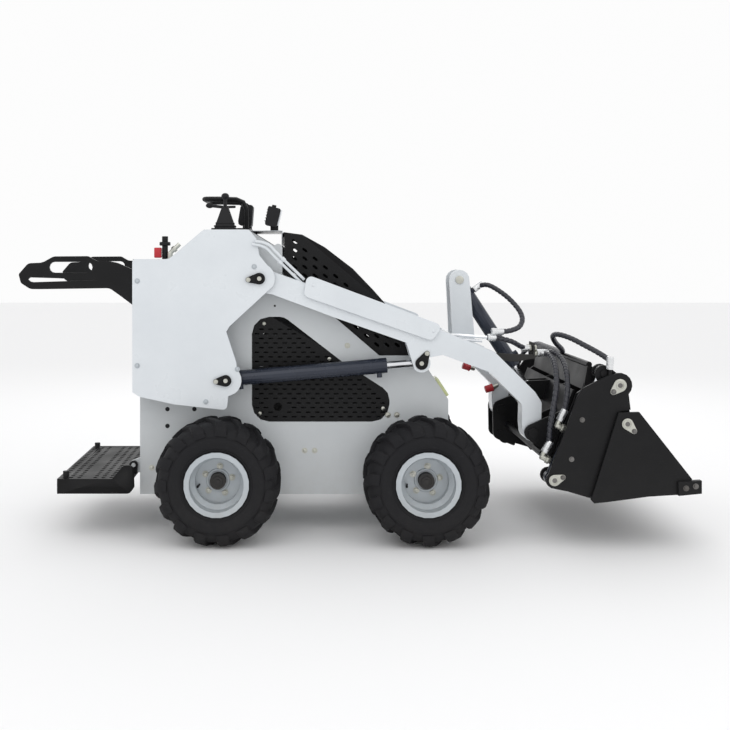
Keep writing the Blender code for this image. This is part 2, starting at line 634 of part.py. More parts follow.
def bucket_side(side):
    """Side plate of the back part, with the jaw's hinge pin and the clam cylinder's base pin in it."""
    outline = (arc(CLAM_BASE, 0.030, 270, 130, 6)
               + [(1.249, 0.446), (1.284, 0.545), (1.302, 0.572), (1.405, 0.623)]
               + arc(JAW_HINGE, 0.044, 120, -45, 8)
               + [(1.472, 0.496), (1.434, 0.490), (1.345, 0.215), (1.327, 0.182), (1.249, 0.205)])
    inner, outer = side * (BUCKET_SIDE_OUTER - BUCKET_PLATE), side * BUCKET_SIDE_OUTER
    plate = slab(outline, inner, outer)
    hinge_pin = disc(JAW_HINGE, 0.014, side * (LEVER_INNER[0] - 0.003), side * (BUCKET_SIDE_OUTER - 0.002))
    base_pin = disc(CLAM_BASE, 0.012, side * (RIB_OUTER[1] + FIT), side * (BUCKET_SIDE_OUTER - 0.002))
    fittings = [rod_between((1.400, -0.500, 0.612), (1.400, -0.500, 0.650), 0.0055, 10)] if side < 0 else []
    return fuse(plate, hinge_pin, base_pin, *fittings)


def jaw_side(side):
    """Side plate of the jaw, its lever at the hinge and the end block of the cutting edge."""
    outline = rounded((1.337, 0.167), (1.372, 0.170), (1.531, 0.191), (1.660, 0.199), (1.684, 0.253), (1.4975, 0.490),
                      (1.425, 0.488), (1.327, 0.179))
    inner, outer = side * JAW_SIDE_INNER, side * JAW_SIDE_OUTER
    plate = slab(outline, inner, outer)
    end_block = slab([(1.633, 0.196), (1.714, 0.204), (1.714, 0.250), (1.631, 0.2455)],
                     side * (JAW_SIDE_INNER + 0.002), side * CUTTING_EDGE_OUTER)
    long_lever = slab(around((*CLAM_EYE, 0.030), (*JAW_HINGE, 0.030), (*JAW_PIN, 0.026)),
                      side * LEVER_OUTER[0], side * LEVER_OUTER[1])
    short_lever = slab(around((*CLAM_EYE, 0.030), (*JAW_HINGE, 0.030)), side * LEVER_INNER[0], side * LEVER_INNER[1])
    hub = disc(JAW_HINGE, 0.024, side * (LEVER_INNER[0] + 0.001), side * (LEVER_OUTER[1] - 0.001))
    tie = disc(JAW_PIN, 0.012, side * (LEVER_OUTER[0] + 0.002), side * (JAW_SIDE_OUTER - 0.002), 12)
    head = disc(CLAM_EYE, 0.013, side * (LEVER_OUTER[1] - 0.002), side * (LEVER_OUTER[1] + 0.007), 12)
    piece = fuse(plate, end_block, long_lever, short_lever, hub, tie, head)
    return cut(piece, hole(JAW_HINGE, 0.014 + BORE_FIT, side * LEVER_INNER[0], side * LEVER_OUTER[1]))


def jaw_floor():
    """Floor of the jaw with the cutting edge along its front."""
    half = JAW_SIDE_INNER - FIT
    floor = slab([(1.338, 0.1725), (1.531, 0.1930), (1.660, 0.2020), (1.660, 0.2140), (1.531, 0.2030), (1.338, 0.1825)],
                 -half, half)
    edge = slab([(1.600, 0.2045), (1.714, 0.2120), (1.714, 0.2150), (1.690, 0.2290), (1.600, 0.2230)], -half, half)
    return fuse(floor, edge)


# ---- wheels -------------------------------------------------------------------------------------
def tyre():
    grow = 1 / math.cos(math.pi / WHEEL_STEPS)
    bore = RIM_SEAT + FIT
    half = [(0.034, TYRE_RADIUS), (0.070, 0.2210), (0.094, 0.2060), (0.105, 0.185), (TYRE_HALF_WIDTH, 0.160),
            (0.101, 0.130), (0.0890, 0.1175), (0.0890, bore)]
    profile = [(-y, r * grow) for y, r in half[::-1]] + [(y, r * grow) for y, r in half]
    return turned(profile, WHEEL_STEPS, closed=True)


def rim():
    grow = 1 / math.cos(math.pi / WHEEL_STEPS)
    wall = 0.004
    outer = [(0.030, 0.085), (0.045, RIM_SEAT), (0.0893, RIM_SEAT), (0.0905, RIM_FLANGE), (RIM_HALF_WIDTH, RIM_FLANGE)]
    inner = [(RIM_HALF_WIDTH, RIM_SEAT - wall), (0.048, RIM_SEAT - wall), (0.034, 0.081), (DISC_HALF, 0.081),
             (DISC_HALF, SPINDLE_RADIUS + FIT)]
    loop = [(-y, r) for y, r in outer[::-1]] + outer + inner + [(-y, r) for y, r in inner[::-1]]
    return turned([(y, r * grow) for y, r in loop], WHEEL_STEPS, closed=True)


# ---- hoses and lines ----------------------------------------------------------------------------
LINE_RADIUS = 0.0055
LINE_Y = -(ARM_INNER - FIT - LINE_RADIUS)
HOSE_RADIUS = 0.0100
HOSE_STEP = 0.030
END_STRAIGHT = 0.014

def cylinder_point(kind, along, across, y):
    """A point given along and across a cylinder at rest, as (x, y, z) on the machine."""
    base, eye = Vector(CYLINDERS[kind][0]), Vector(CYLINDERS[kind][1])
    aim = (eye - base).normalized()
    place = base + aim * along + Vector((-aim.y, aim.x)) * across
    return (place.x, y, place.y)


PORT_REACH = 0.0605            # centre line of a clam port's elbow from the cylinder's axis
BASE_ELBOW, GLAND_ELBOW = 0.0825, 0.2085
GUARD_Z = 0.6613

# routes as (x, y, z); the first runs on the right arm, the others between the pieces that hold them
ARM_LINE = [(0.500, LINE_Y, 0.8420), (0.700, LINE_Y, 0.7740), (0.820, LINE_Y, 0.7460), (0.900, LINE_Y, 0.7425),
            (1.004, LINE_Y, 0.7350)]
HOSES = {
    "tilt_hose": [cylinder_point("tilt", 0.070, 0.0434, 0), cylinder_point("tilt", 0.070, 0.064, 0),
                  (1.056, -0.036, 0.9240), (1.108, -0.100, 0.8850), (1.145, -0.150, 0.8375), (1.153, -0.190, 0.8020),
                  (1.136, -0.222, 0.7740), (1.102, -0.247, 0.7610), (1.068, -0.258, 0.7565), (1.0335, -0.2615, 0.7560)],
    "bulkhead_hose": [(1.0045, -0.2615, 0.7350), (1.050, -0.257, 0.7310), (1.100, -0.246, 0.7180),
                      (1.135, -0.226, 0.7000), (1.158, -0.215, 0.6900), (1.1775, -0.215, 0.6900)],
    "clam_hose_base": [(1.2145, -0.215, 0.6700), (1.233, -0.215, 0.6700), (1.246, -0.255, 0.6640), (1.247, -0.310, 0.6460),
                       (1.240, -0.370, 0.6150), (1.229, -0.420, 0.5650), (1.211, -0.447, 0.4900), (1.1980, -0.4535, 0.4250),
                       cylinder_point("clam", BASE_ELBOW + 0.026, PORT_REACH, -CLAM_Y),
                       cylinder_point("clam", BASE_ELBOW, PORT_REACH, -CLAM_Y)],
    "clam_hose_gland": [(1.2145, -0.180, 0.6700), (1.235, -0.180, 0.6700), (1.262, -0.210, 0.6740), (1.278, -0.260, 0.6640),
                        (1.281, -0.320, 0.6420), (1.276, -0.380, 0.6120), (1.268, -0.425, 0.5700), (1.258, -0.4490, 0.5200),
                        cylinder_point("clam", GLAND_ELBOW + 0.026, PORT_REACH, -CLAM_Y),
                        cylinder_point("clam", GLAND_ELBOW, PORT_REACH, -CLAM_Y)],
    "guard_hose": [cylinder_point("clam", GLAND_ELBOW, PORT_REACH, CLAM_Y),
                   cylinder_point("clam", GLAND_ELBOW + 0.026, PORT_REACH, CLAM_Y), (1.258, 0.4490, 0.5200),
                   (1.272, 0.4300, 0.5850), (1.302, 0.398, 0.6400), (1.330, 0.340, 0.6615), (1.3369, 0.240, GUARD_Z),
                   (1.3369, 0.080, GUARD_Z), (1.3369, -0.060, GUARD_Z), (1.322, -0.120, 0.6780), (1.288, -0.165, 0.7060),
                   (1.266, -0.210, 0.7320), (1.264, -0.255, 0.7450), (1.278, -0.300, 0.7460), (1.306, -0.345, 0.7350),
                   (1.338, -0.390, 0.7160), (1.370, -0.4350, 0.6960), (1.392, -0.475, 0.6790), (1.400, -0.4990, 0.6670),
                   (1.4000, -0.500, 0.6505)],
}


def smooth_route(route, spacing):
    """Even points along a smooth line through the route's points."""
    points = [Vector(p) for p in route]
    ends = [points[0] * 2 - points[1]] + points + [points[-1] * 2 - points[-2]]
    fine = []
    for a, b, c, d in zip(ends, ends[1:], ends[2:], ends[3:]):
        for k in range(16):
            t = k / 16
            fine.append(0.5 * (2 * b + (c - a) * t + (2 * a - 5 * b + 4 * c - d) * t * t
                               + (3 * b - a - 3 * c + d) * t ** 3))
    fine.append(points[-1])
    total = sum((q - p).length for p, q in zip(fine, fine[1:]))
    count = max(2, round(total / spacing))
    line, walked = [fine[0]], 0.0
    for p, q in zip(fine, fine[1:]):
        walked += (q - p).length
        if walked >= len(line) * total / count and len(line) < count:
            line.append(q)
    first = points[0] + (points[1] - points[0]).normalized() * END_STRAIGHT
    last = points[-1] + (points[-2] - points[-1]).normalized() * END_STRAIGHT
    return [points[0], first] + line[1:] + [last, points[-1]]


def tube(line, radius):
    """A round tube along a line of points, with closed ends."""
    curve = bpy.data.curves.new("tube", "CURVE")
    curve.dimensions = "3D"
    curve.bevel_depth = radius
    curve.bevel_resolution = 2
    curve.use_fill_caps = True
    spline = curve.splines.new("POLY")
    spline.points.add(len(line) - 1)
    for point, place in zip(spline.points, line):
        point.co = (*place, 1)
    piece = bpy.data.objects.new("tube", curve)
    bpy.context.scene.collection.objects.link(piece)
    return piece


def hose_bulkhead():
    """Bracket in front of the cross tube that holds the couplers for the bucket's hoses."""
    root = CROSS_HALF[0] + 0.003
    arm_plate = slab([cross_point(root, -0.018), cross_point(root, 0.012), (1.100, 0.670), (1.188, 0.668),
                      (1.188, 0.652), (1.120, 0.640)], -0.240, -0.235)
    plate = block(1.185, 1.190, -0.240, -0.160, 0.650, 0.712)
    couplers = [rod_between((1.178, y, 0.690), (1.200, y, 0.690), 0.009, 12) for y in (-0.215, -0.180)]
    couplers += [rod_between((1.180, y, 0.670), (1.214, y, 0.670), 0.0095, 12) for y in (-0.215, -0.180)]
    foot = slab(sheet(CROSS_FRONT, 0.006), -0.262, -0.215)
    return fuse(plate, arm_plate, *couplers, foot)


# ---- assembly -----------------------------------------------------------------------------------
def build():
    for old in list(bpy.data.objects):
        bpy.data.objects.remove(old, do_unlink=True)

    machine = pivot("machine", (0, 0))
    arm_axis = pivot("arm_pivot", ARM_PIVOT, parent=machine)
    bucket_axis = pivot("bucket_pivot", BUCKET_PIVOT, parent=machine)
    jaw_axis = pivot("jaw_hinge", JAW_HINGE, parent=machine)
    hood_axis = pivot("hood_hinge", HOOD_HINGE, parent=machine)
    platform_axis = pivot("platform_hinge", PLATFORM_HINGE, parent=machine)

    name_piece(belly_pan(), "belly_pan", GREY, machine)
    name_piece(front_plate(), "front_plate", GREY, machine)
    name_piece(rear_panel_lower(), "rear_panel_lower", GREY, machine)
    name_piece(rear_panel_upper(), "rear_panel_upper", WHITE, machine)
    name_piece(rear_deck(), "rear_deck", WHITE, machine)
    name_piece(dash_panel(), "dash_panel", WHITE, machine)
    name_piece(engine_block(), "engine_block", IRON, machine)
    name_piece(axle(0), "rear_axle", IRON, machine)
    name_piece(axle(WHEELBASE), "front_axle", IRON, machine)
    name_piece(hood(), "hood", BLACK, hood_axis)
    name_piece(platform(), "platform", BLACK, platform_axis)
    name_piece(console(), "console", BLACK, machine)
    name_piece(handlebar(), "handlebar", BLACK, machine)
    name_piece(joystick(), "joystick", BLACK, machine)
    name_piece(work_light(), "work_light", BLACK, machine)
    name_piece(cross_tube(), "arm_cross_tube", WHITE, arm_axis)
    name_piece(quick_attach(), "quick_attach", BLACK, bucket_axis)
    name_piece(bucket_back(), "bucket_back", BLACK, bucket_axis)
    name_piece(jaw_floor(), "jaw_floor", BLACK, jaw_axis)
    name_piece(hose_bulkhead(), "hose_bulkhead", IRON, arm_axis)
    name_piece(tube(ARM_LINE, LINE_RADIUS), "arm_line", CHROME, machine)
    for name, route in HOSES.items():
        name_piece(tube(smooth_route(route, HOSE_STEP), HOSE_RADIUS), name, HOSE, machine)
    cylinder("tilt", "tilt", 0, machine)
    for word, side in SIDES.items():
        name_piece(hull_side(side), f"hull_side_{word}", GREY, machine)
        name_piece(side_grille(side), f"side_grille_{word}", BLACK, machine)
        name_piece(outer_cover(side), f"outer_cover_{word}", WHITE, machine)
        name_piece(rear_handle(side), f"rear_handle_{word}", BLACK, machine)
        name_piece(lift_arm(side), f"lift_arm_{word}", WHITE, arm_axis)
        name_piece(arm_cover(side), f"arm_cover_{word}", WHITE, arm_axis)
        name_piece(bucket_side(side), f"bucket_side_{word}", BLACK, bucket_axis)
        name_piece(jaw_side(side), f"jaw_side_{word}", BLACK, jaw_axis)
        cylinder("lift", f"lift_{word}", side * LIFT_Y, machine)
        cylinder("clam", f"clam_{word}", side * CLAM_Y, machine)
        for end, x in (("rear", 0), ("front", WHEELBASE)):
            hub = pivot(f"wheel_{end}_{word}", (x, TYRE_RADIUS), side * WHEEL_Y, parent=machine)
            for piece, name, look in ((tyre(), "tyre", RUBBER), (rim(), "rim", RIM_PAINT)):
                piece.data.transform(Matrix.Rotation(math.pi / 2, 4, "Z"))
                name_piece(piece, f"{name}_{end}_{word}", look, hub, True)
    machine.location.x = REAR_AXLE_X


build()
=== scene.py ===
import json
import math
import bpy
from mathutils import Matrix, Vector

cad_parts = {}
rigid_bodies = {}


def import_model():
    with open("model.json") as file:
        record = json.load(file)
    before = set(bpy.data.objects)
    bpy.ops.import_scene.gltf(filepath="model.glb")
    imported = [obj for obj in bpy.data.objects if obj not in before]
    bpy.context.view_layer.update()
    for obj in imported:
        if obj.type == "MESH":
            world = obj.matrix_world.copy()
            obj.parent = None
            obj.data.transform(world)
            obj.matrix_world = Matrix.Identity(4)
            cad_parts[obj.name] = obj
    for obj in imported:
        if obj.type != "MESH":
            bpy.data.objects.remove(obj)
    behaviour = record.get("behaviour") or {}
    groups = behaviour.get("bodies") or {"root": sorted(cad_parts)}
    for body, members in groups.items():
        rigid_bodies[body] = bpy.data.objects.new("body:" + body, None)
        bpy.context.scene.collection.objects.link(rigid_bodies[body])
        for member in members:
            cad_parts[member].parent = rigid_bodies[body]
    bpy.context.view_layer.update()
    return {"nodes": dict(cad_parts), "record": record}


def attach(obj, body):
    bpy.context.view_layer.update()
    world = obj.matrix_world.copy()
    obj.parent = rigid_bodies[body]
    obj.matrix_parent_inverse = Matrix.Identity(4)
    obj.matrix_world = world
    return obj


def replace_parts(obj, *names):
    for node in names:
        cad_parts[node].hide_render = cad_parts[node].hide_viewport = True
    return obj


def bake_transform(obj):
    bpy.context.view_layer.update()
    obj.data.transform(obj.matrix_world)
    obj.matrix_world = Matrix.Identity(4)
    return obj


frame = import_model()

axleX = -0.48613                      # rear axle; every side view below is measured from it, as (x, z)
bothSides = (("right", -1), ("left", 1))
weldDistance = 0.00002
print("frame loaded")


# camera, floor and light
cameraSetup = {"place": (0.308 + axleX, -4.225, 1.035), "lens": 51.63, "shift": (0.0849, -0.1466)}
floorSetup = {"size": 40.0, "height": -0.0005, "colour": (0.90, 0.90, 0.905, 1), "rough": 0.9}
lamps = {
    "keyLamp": {"place": (-1.6, -3.4, 3.6), "aim": (0.0, 0.0, 0.6), "size": 3.0, "power": 20},
    "frontLamp": {"place": (2.6, -3.0, 2.6), "aim": (0.4, 0.0, 0.5), "size": 2.6, "power": 12},
    "backLamp": {"place": (0.4, 3.6, 3.2), "aim": (0.0, 0.0, 0.7), "size": 3.0, "power": 30},
}

bpy.ops.object.select_all(action="DESELECT")
bpy.ops.object.camera_add(location=cameraSetup["place"], rotation=(math.pi / 2, 0, 0))
camera = bpy.context.object
camera.name = "camera"
camera.data.lens = cameraSetup["lens"]
camera.data.sensor_width = 36
camera.data.shift_x, camera.data.shift_y = cameraSetup["shift"]
camera.data.clip_end = 100
bpy.context.scene.camera = camera

for lampName, lampValues in lamps.items():
    bpy.ops.object.light_add(type="AREA", location=lampValues["place"])
    lamp = bpy.context.object
    lamp.name = lampName
    lamp.data.size = lampValues["size"]
    lamp.data.energy = lampValues["power"]
    lamp.rotation_euler = (Vector(lampValues["aim"]) - lamp.location).to_track_quat("-Z", "Y").to_euler()

world = bpy.context.scene.world or bpy.data.worlds.new("studio")
bpy.context.scene.world = world
world.use_nodes = True
sky = world.node_tree.nodes["Background"]
sky.inputs["Color"].default_value = (1.0, 1.0, 1.0, 1)
sky.inputs["Strength"].default_value = 0.98
bpy.context.scene.view_settings.view_transform = "Standard"

bpy.ops.mesh.primitive_plane_add(size=floorSetup["size"], location=(0, 0, floorSetup["height"]))
studioFloor = bpy.context.object
studioFloor.name = "studioFloor"
floorMaterial = bpy.data.materials.new("studioFloor")
floorMaterial.use_nodes = True
floorShader = floorMaterial.node_tree.nodes["Principled BSDF"]
floorShader.inputs["Base Color"].default_value = floorSetup["colour"]
floorShader.inputs["Roughness"].default_value = floorSetup["rough"]
studioFloor.data.materials.append(floorMaterial)
print("camera, light and floor placed")


# finishes
def newGroup(name, inputs, outputs):
    group = bpy.data.node_groups.new(name, "ShaderNodeTree")
    for label, kind, value in inputs:
        socket = group.interface.new_socket(label, in_out="INPUT", socket_type=kind)
        if value is not None:
            socket.default_value = value
    for label, kind in outputs:
        group.interface.new_socket(label, in_out="OUTPUT", socket_type=kind)
    return group, group.nodes.new("NodeGroupInput"), group.nodes.new("NodeGroupOutput")


def mathNode(tree, operation, first, second=None, clamp=False):
    node = tree.nodes.new("ShaderNodeMath")
    node.operation = operation
    node.use_clamp = clamp
    for index, value in enumerate((first, second)):
        if isinstance(value, (int, float)):
            node.inputs[index].default_value = value
        elif value is not None:
            tree.links.new(value, node.inputs[index])
    return node.outputs[0]


def rangeNode(tree, value, low, high, newLow=0.0, newHigh=1.0):
    node = tree.nodes.new("ShaderNodeMapRange")
    tree.links.new(value, node.inputs["Value"])
    for label, number in (("From Min", low), ("From Max", high), ("To Min", newLow), ("To Max", newHigh)):
        if isinstance(number, (int, float)):
            node.inputs[label].default_value = number
        else:
            tree.links.new(number, node.inputs[label])
    return node.outputs["Result"]


def noiseNode(tree, coordinates, scale, detail=3.0, roughness=0.5):
    node = tree.nodes.new("ShaderNodeTexNoise")
    tree.links.new(coordinates, node.inputs["Vector"])
    if isinstance(scale, (int, float)):
        node.inputs["Scale"].default_value = scale
    else:
        tree.links.new(scale, node.inputs["Scale"])
    node.inputs["Detail"].default_value = detail
    node.inputs["Roughness"].default_value = roughness
    return node.outputs["Fac"]


def buildWeathering():
    # masks shared by every finish: fine grain, broad patches, dust near the ground and rubbed streaks
    group, given, result = newGroup(
        "weathering",
        [("Coordinates", "NodeSocketVector", None), ("Grain Scale", "NodeSocketFloat", 900.0),
         ("Patch Scale", "NodeSocketFloat", 5.0), ("Dust Height", "NodeSocketFloat", 0.35),
         ("Streak Scale", "NodeSocketFloat", 60.0)],
        [("Grain", "NodeSocketFloat"), ("Patches", "NodeSocketFloat"), ("Dust", "NodeSocketFloat"),
         ("Streaks", "NodeSocketFloat")])
    coordinates = given.outputs["Coordinates"]
    grain = noiseNode(group, coordinates, given.outputs["Grain Scale"], 2.0)
    patches = rangeNode(group, noiseNode(group, coordinates, given.outputs["Patch Scale"], 4.0, 0.6), 0.35, 0.65)
    split = group.nodes.new("ShaderNodeSeparateXYZ")
    group.links.new(coordinates, split.inputs[0])
    low = rangeNode(group, split.outputs["Z"], given.outputs["Dust Height"], 0.0)
    speckle = rangeNode(group, noiseNode(group, coordinates, 38.0, 5.0, 0.65), 0.38, 0.62)
    settled = mathNode(group, "ADD", 0.35, mathNode(group, "MULTIPLY", speckle, 0.65))
    dust = mathNode(group, "MULTIPLY", mathNode(group, "POWER", low, 1.6), settled, True)
    stretch = group.nodes.new("ShaderNodeMapping")
    stretch.inputs["Scale"].default_value = (1.0, 1.0, 9.0)
    stretch.inputs["Rotation"].default_value = (0.0, 0.35, 0.0)
    group.links.new(coordinates, stretch.inputs["Vector"])
    scratches = noiseNode(group, stretch.outputs[0], given.outputs["Streak Scale"], 4.0, 0.7)
    streaks = rangeNode(group, scratches, 0.63, 0.70)
    for label, value in (("Grain", grain), ("Patches", patches), ("Dust", dust), ("Streaks", streaks)):
        group.links.new(value, result.inputs[label])
    return group


weathering = buildWeathering()

finishes = {
    # metallic and coat are left out where they are nought
    "whitePaint": {"colour": (0.690, 0.725, 0.755), "second": (0.655, 0.690, 0.722), "rubbed": (0.60, 0.63, 0.66),
                   "dust": (0.52, 0.50, 0.46), "dustAmount": 0.25, "rubAmount": 0.20, "rough": (0.26, 0.38),
                   "coat": 0.35, "grain": 520.0, "bump": 0.06, "bumpDepth": 0.0006},
    "greyPaint": {"colour": (0.575, 0.600, 0.615), "second": (0.545, 0.570, 0.586), "rubbed": (0.50, 0.52, 0.53),
                  "dust": (0.46, 0.44, 0.40), "dustAmount": 0.40, "rubAmount": 0.22, "rough": (0.28, 0.42),
                  "coat": 0.25, "grain": 520.0, "bump": 0.06, "bumpDepth": 0.0006},
    "blackPaint": {"colour": (0.0085, 0.0085, 0.0092), "second": (0.0115, 0.0115, 0.0122),
                   "rubbed": (0.035, 0.035, 0.037), "dust": (0.045, 0.043, 0.040), "dustAmount": 0.22,
                   "specular": 0.16, "rubAmount": 0.35, "rough": (0.34, 0.50), "grain": 650.0, "bump": 0.12,
                   "bumpDepth": 0.0006},
    "barrelPaint": {"colour": (0.020, 0.025, 0.040), "second": (0.025, 0.031, 0.048),
                    "rubbed": (0.060, 0.068, 0.09), "dust": (0.08, 0.078, 0.075), "dustAmount": 0.15,
                    "specular": 0.45, "rubAmount": 0.30, "rough": (0.22, 0.36), "metallic": 0.2, "coat": 0.10,
                    "grain": 450.0, "bump": 0.05, "bumpDepth": 0.0005},
    "chromeRod": {"colour": (0.80, 0.81, 0.83), "second": (0.74, 0.75, 0.78), "rubbed": (0.62, 0.63, 0.66),
                  "dust": (0.50, 0.48, 0.44), "dustAmount": 0.10, "rubAmount": 0.30, "rough": (0.07, 0.16),
                  "metallic": 1.0, "grain": 800.0, "bump": 0.02, "bumpDepth": 0.0003},
    "tyreRubber": {"colour": (0.0085, 0.0085, 0.0100), "second": (0.0125, 0.0125, 0.0145),
                   "rubbed": (0.040, 0.040, 0.045), "dust": (0.048, 0.045, 0.042), "dustAmount": 0.30,
                   "specular": 0.22, "rubAmount": 0.45, "rough": (0.60, 0.82), "grain": 420.0, "bump": 0.35,
                   "bumpDepth": 0.0010},
    "rimPaint": {"colour": (0.475, 0.515, 0.545), "second": (0.440, 0.478, 0.508), "rubbed": (0.34, 0.35, 0.36),
                 "dust": (0.36, 0.34, 0.30), "dustAmount": 0.40, "rubAmount": 0.30, "rough": (0.30, 0.44),
                 "metallic": 0.25, "coat": 0.15, "grain": 520.0, "bump": 0.08, "bumpDepth": 0.0006},
    "castIron": {"colour": (0.030, 0.030, 0.032), "second": (0.050, 0.048, 0.046), "rubbed": (0.11, 0.105, 0.10),
                 "dust": (0.16, 0.14, 0.12), "dustAmount": 0.40, "rubAmount": 0.35, "rough": (0.48, 0.70),
                 "metallic": 0.6, "grain": 260.0, "bump": 0.35, "bumpDepth": 0.0010},
    "hoseCover": {"colour": (0.020, 0.021, 0.028), "second": (0.028, 0.029, 0.038), "rubbed": (0.07, 0.07, 0.08),
                  "dust": (0.11, 0.105, 0.10), "dustAmount": 0.05, "rubAmount": 0.40, "rough": (0.24, 0.36),
                  "grain": 900.0, "bump": 0.20, "bumpDepth": 0.0005},
    "zincPlate": {"colour": (0.56, 0.56, 0.51), "second": (0.47, 0.47, 0.42), "rubbed": (0.34, 0.33, 0.30),
                  "dust": (0.30, 0.28, 0.24), "dustAmount": 0.25, "rubAmount": 0.40, "rough": (0.26, 0.44),
                  "metallic": 0.9, "grain": 700.0, "bump": 0.10, "bumpDepth": 0.0004},
    "brightSteel": {"colour": (0.78, 0.79, 0.80), "second": (0.66, 0.67, 0.68), "rubbed": (0.45, 0.45, 0.45),
                    "dust": (0.40, 0.38, 0.34), "dustAmount": 0.15, "rubAmount": 0.30, "rough": (0.20, 0.34),
                    "metallic": 0.85, "grain": 700.0, "bump": 0.06, "bumpDepth": 0.0003},
    "wornSteel": {"colour": (0.20, 0.195, 0.19), "second": (0.11, 0.105, 0.10), "rubbed": (0.38, 0.37, 0.36),
                  "dust": (0.20, 0.17, 0.14), "dustAmount": 0.40, "rubAmount": 0.60, "rough": (0.32, 0.60),
                  "metallic": 0.85, "grain": 360.0, "bump": 0.30, "bumpDepth": 0.0008},
    "blackPlastic": {"colour": (0.010, 0.010, 0.0112), "second": (0.014, 0.014, 0.0155),
                     "rubbed": (0.034, 0.034, 0.037), "dust": (0.08, 0.08, 0.08), "dustAmount": 0.08,
                     "specular": 0.22, "rubAmount": 0.25, "rough": (0.42, 0.58), "grain": 1100.0, "bump": 0.25,
                     "bumpDepth": 0.0005},
    "redPlastic": {"colour": (0.52, 0.012, 0.022), "second": (0.44, 0.010, 0.018), "rubbed": (0.60, 0.08, 0.08),
                   "dust": (0.30, 0.20, 0.18), "dustAmount": 0.10, "rubAmount": 0.25, "rough": (0.30, 0.44),
                   "coat": 0.2, "grain": 900.0, "bump": 0.10, "bumpDepth": 0.0004},
    "reflectorPlastic": {"colour": (0.62, 0.66, 0.30), "second": (0.70, 0.73, 0.42), "rubbed": (0.50, 0.53, 0.26),
                         "dust": (0.40, 0.38, 0.30), "dustAmount": 0.15, "rubAmount": 0.20, "rough": (0.12, 0.24),
                         "coat": 0.6, "grain": 600.0, "bump": 0.10, "bumpDepth": 0.0004},
    "lensPlastic": {"colour": (0.72, 0.74, 0.77), "second": (0.62, 0.64, 0.68), "rubbed": (0.50, 0.51, 0.54),
                    "dust": (0.50, 0.48, 0.44), "dustAmount": 0.10, "rubAmount": 0.10, "rough": (0.08, 0.18),
                    "metallic": 0.3, "coat": 1.0, "grain": 260.0, "bump": 0.30, "bumpDepth": 0.0006},
    "screenGlass": {"colour": (0.012, 0.016, 0.020), "second": (0.018, 0.024, 0.030),
                    "rubbed": (0.05, 0.05, 0.055), "dust": (0.20, 0.20, 0.20), "dustAmount": 0.05,
                    "rubAmount": 0.10, "rough": (0.05, 0.12), "coat": 1.0, "grain": 300.0, "bump": 0.02,
                    "bumpDepth": 0.0002},
}


wearScales = {"Patch Scale": 5.0, "Dust Height": 0.40, "Streak Scale": 45.0}


def makeFinish(name, values):
    material = bpy.data.materials.new(name)
    material.use_nodes = True
    tree = material.node_tree
    shader = tree.nodes["Principled BSDF"]
    coordinates = tree.nodes.new("ShaderNodeTexCoord").outputs["Object"]
    wear = tree.nodes.new("ShaderNodeGroup")
    wear.node_tree = weathering
    tree.links.new(coordinates, wear.inputs["Coordinates"])
    wear.inputs["Grain Scale"].default_value = values["grain"]
    for label, number in wearScales.items():
        wear.inputs[label].default_value = number

    def blendColour(amount, first, second):
        node = tree.nodes.new("ShaderNodeMix")
        node.data_type = "RGBA"
        tree.links.new(amount, node.inputs["Factor"])
        for socket, colour in ((node.inputs[6], first), (node.inputs[7], second)):
            if isinstance(colour, tuple):
                socket.default_value = (*colour, 1)
            else:
                tree.links.new(colour, socket)
        return node.outputs[2]

    tone = blendColour(wear.outputs["Patches"], values["colour"], values["second"])
    rubbing = mathNode(tree, "MULTIPLY", wear.outputs["Streaks"], values["rubAmount"])
    tone = blendColour(rubbing, tone, values["rubbed"])
    dusting = mathNode(tree, "MULTIPLY", wear.outputs["Dust"], values["dustAmount"])
    tone = blendColour(dusting, tone, values["dust"])
    tree.links.new(tone, shader.inputs["Base Color"])
    rough = rangeNode(tree, wear.outputs["Patches"], 0.0, 1.0, *values["rough"])
    rough = mathNode(tree, "ADD", rough, mathNode(tree, "MULTIPLY", dusting, 0.5), True)
    tree.links.new(rough, shader.inputs["Roughness"])
    bump = tree.nodes.new("ShaderNodeBump")
    bump.inputs["Strength"].default_value = values["bump"]
    bump.inputs["Distance"].default_value = values["bumpDepth"]
    tree.links.new(wear.outputs["Grain"], bump.inputs["Height"])
    tree.links.new(bump.outputs["Normal"], shader.inputs["Normal"])
    shader.inputs["Metallic"].default_value = values.get("metallic", 0.0)
    shader.inputs["Coat Weight"].default_value = values.get("coat", 0.0)
    shader.inputs["Coat Roughness"].default_value = 0.12
    shader.inputs["Specular IOR Level"].default_value = values.get("specular", 0.5)
    return material


finishMaterials = {name: makeFinish(name, values) for name, values in finishes.items()}

slotFinishes = {"tyre": "tyreRubber", "rim_paint": "rimPaint", "hose": "hoseCover", "chrome_rod": "chromeRod",
                "barrel_paint": "barrelPaint", "iron": "castIron", "white_paint": "whitePaint",
                "grey_paint": "greyPaint", "black_plastic": "blackPlastic", "black_paint": "blackPaint"}
nodeSlots = {entry["node"]: entry["material_slot"] for entry in frame["record"]["subparts"]}
for nodeName, nodeObject in frame["nodes"].items():
    nodeObject.data.materials.clear()
    nodeObject.data.materials.append(finishMaterials[slotFinishes[nodeSlots[nodeName]]])
print("finishes made and given to the frame's nodes")


# small plates get a rounded edge that catches the light
edgeRounding = {"segments": 2, "angle": 38.0, "share": 0.4}


def roundEdges(piece, width):
    weld = piece.modifiers.new("weld", "WELD")
    weld.merge_threshold = weldDistance
    bevel = piece.modifiers.new("roundedEdges", "BEVEL")
    bevel.width = width
    bevel.segments = edgeRounding["segments"]
    bevel.limit_method = "ANGLE"
    bevel.angle_limit = math.radians(edgeRounding["angle"])
    bevel.harden_normals = True
    bevel.use_clamp_overlap = True


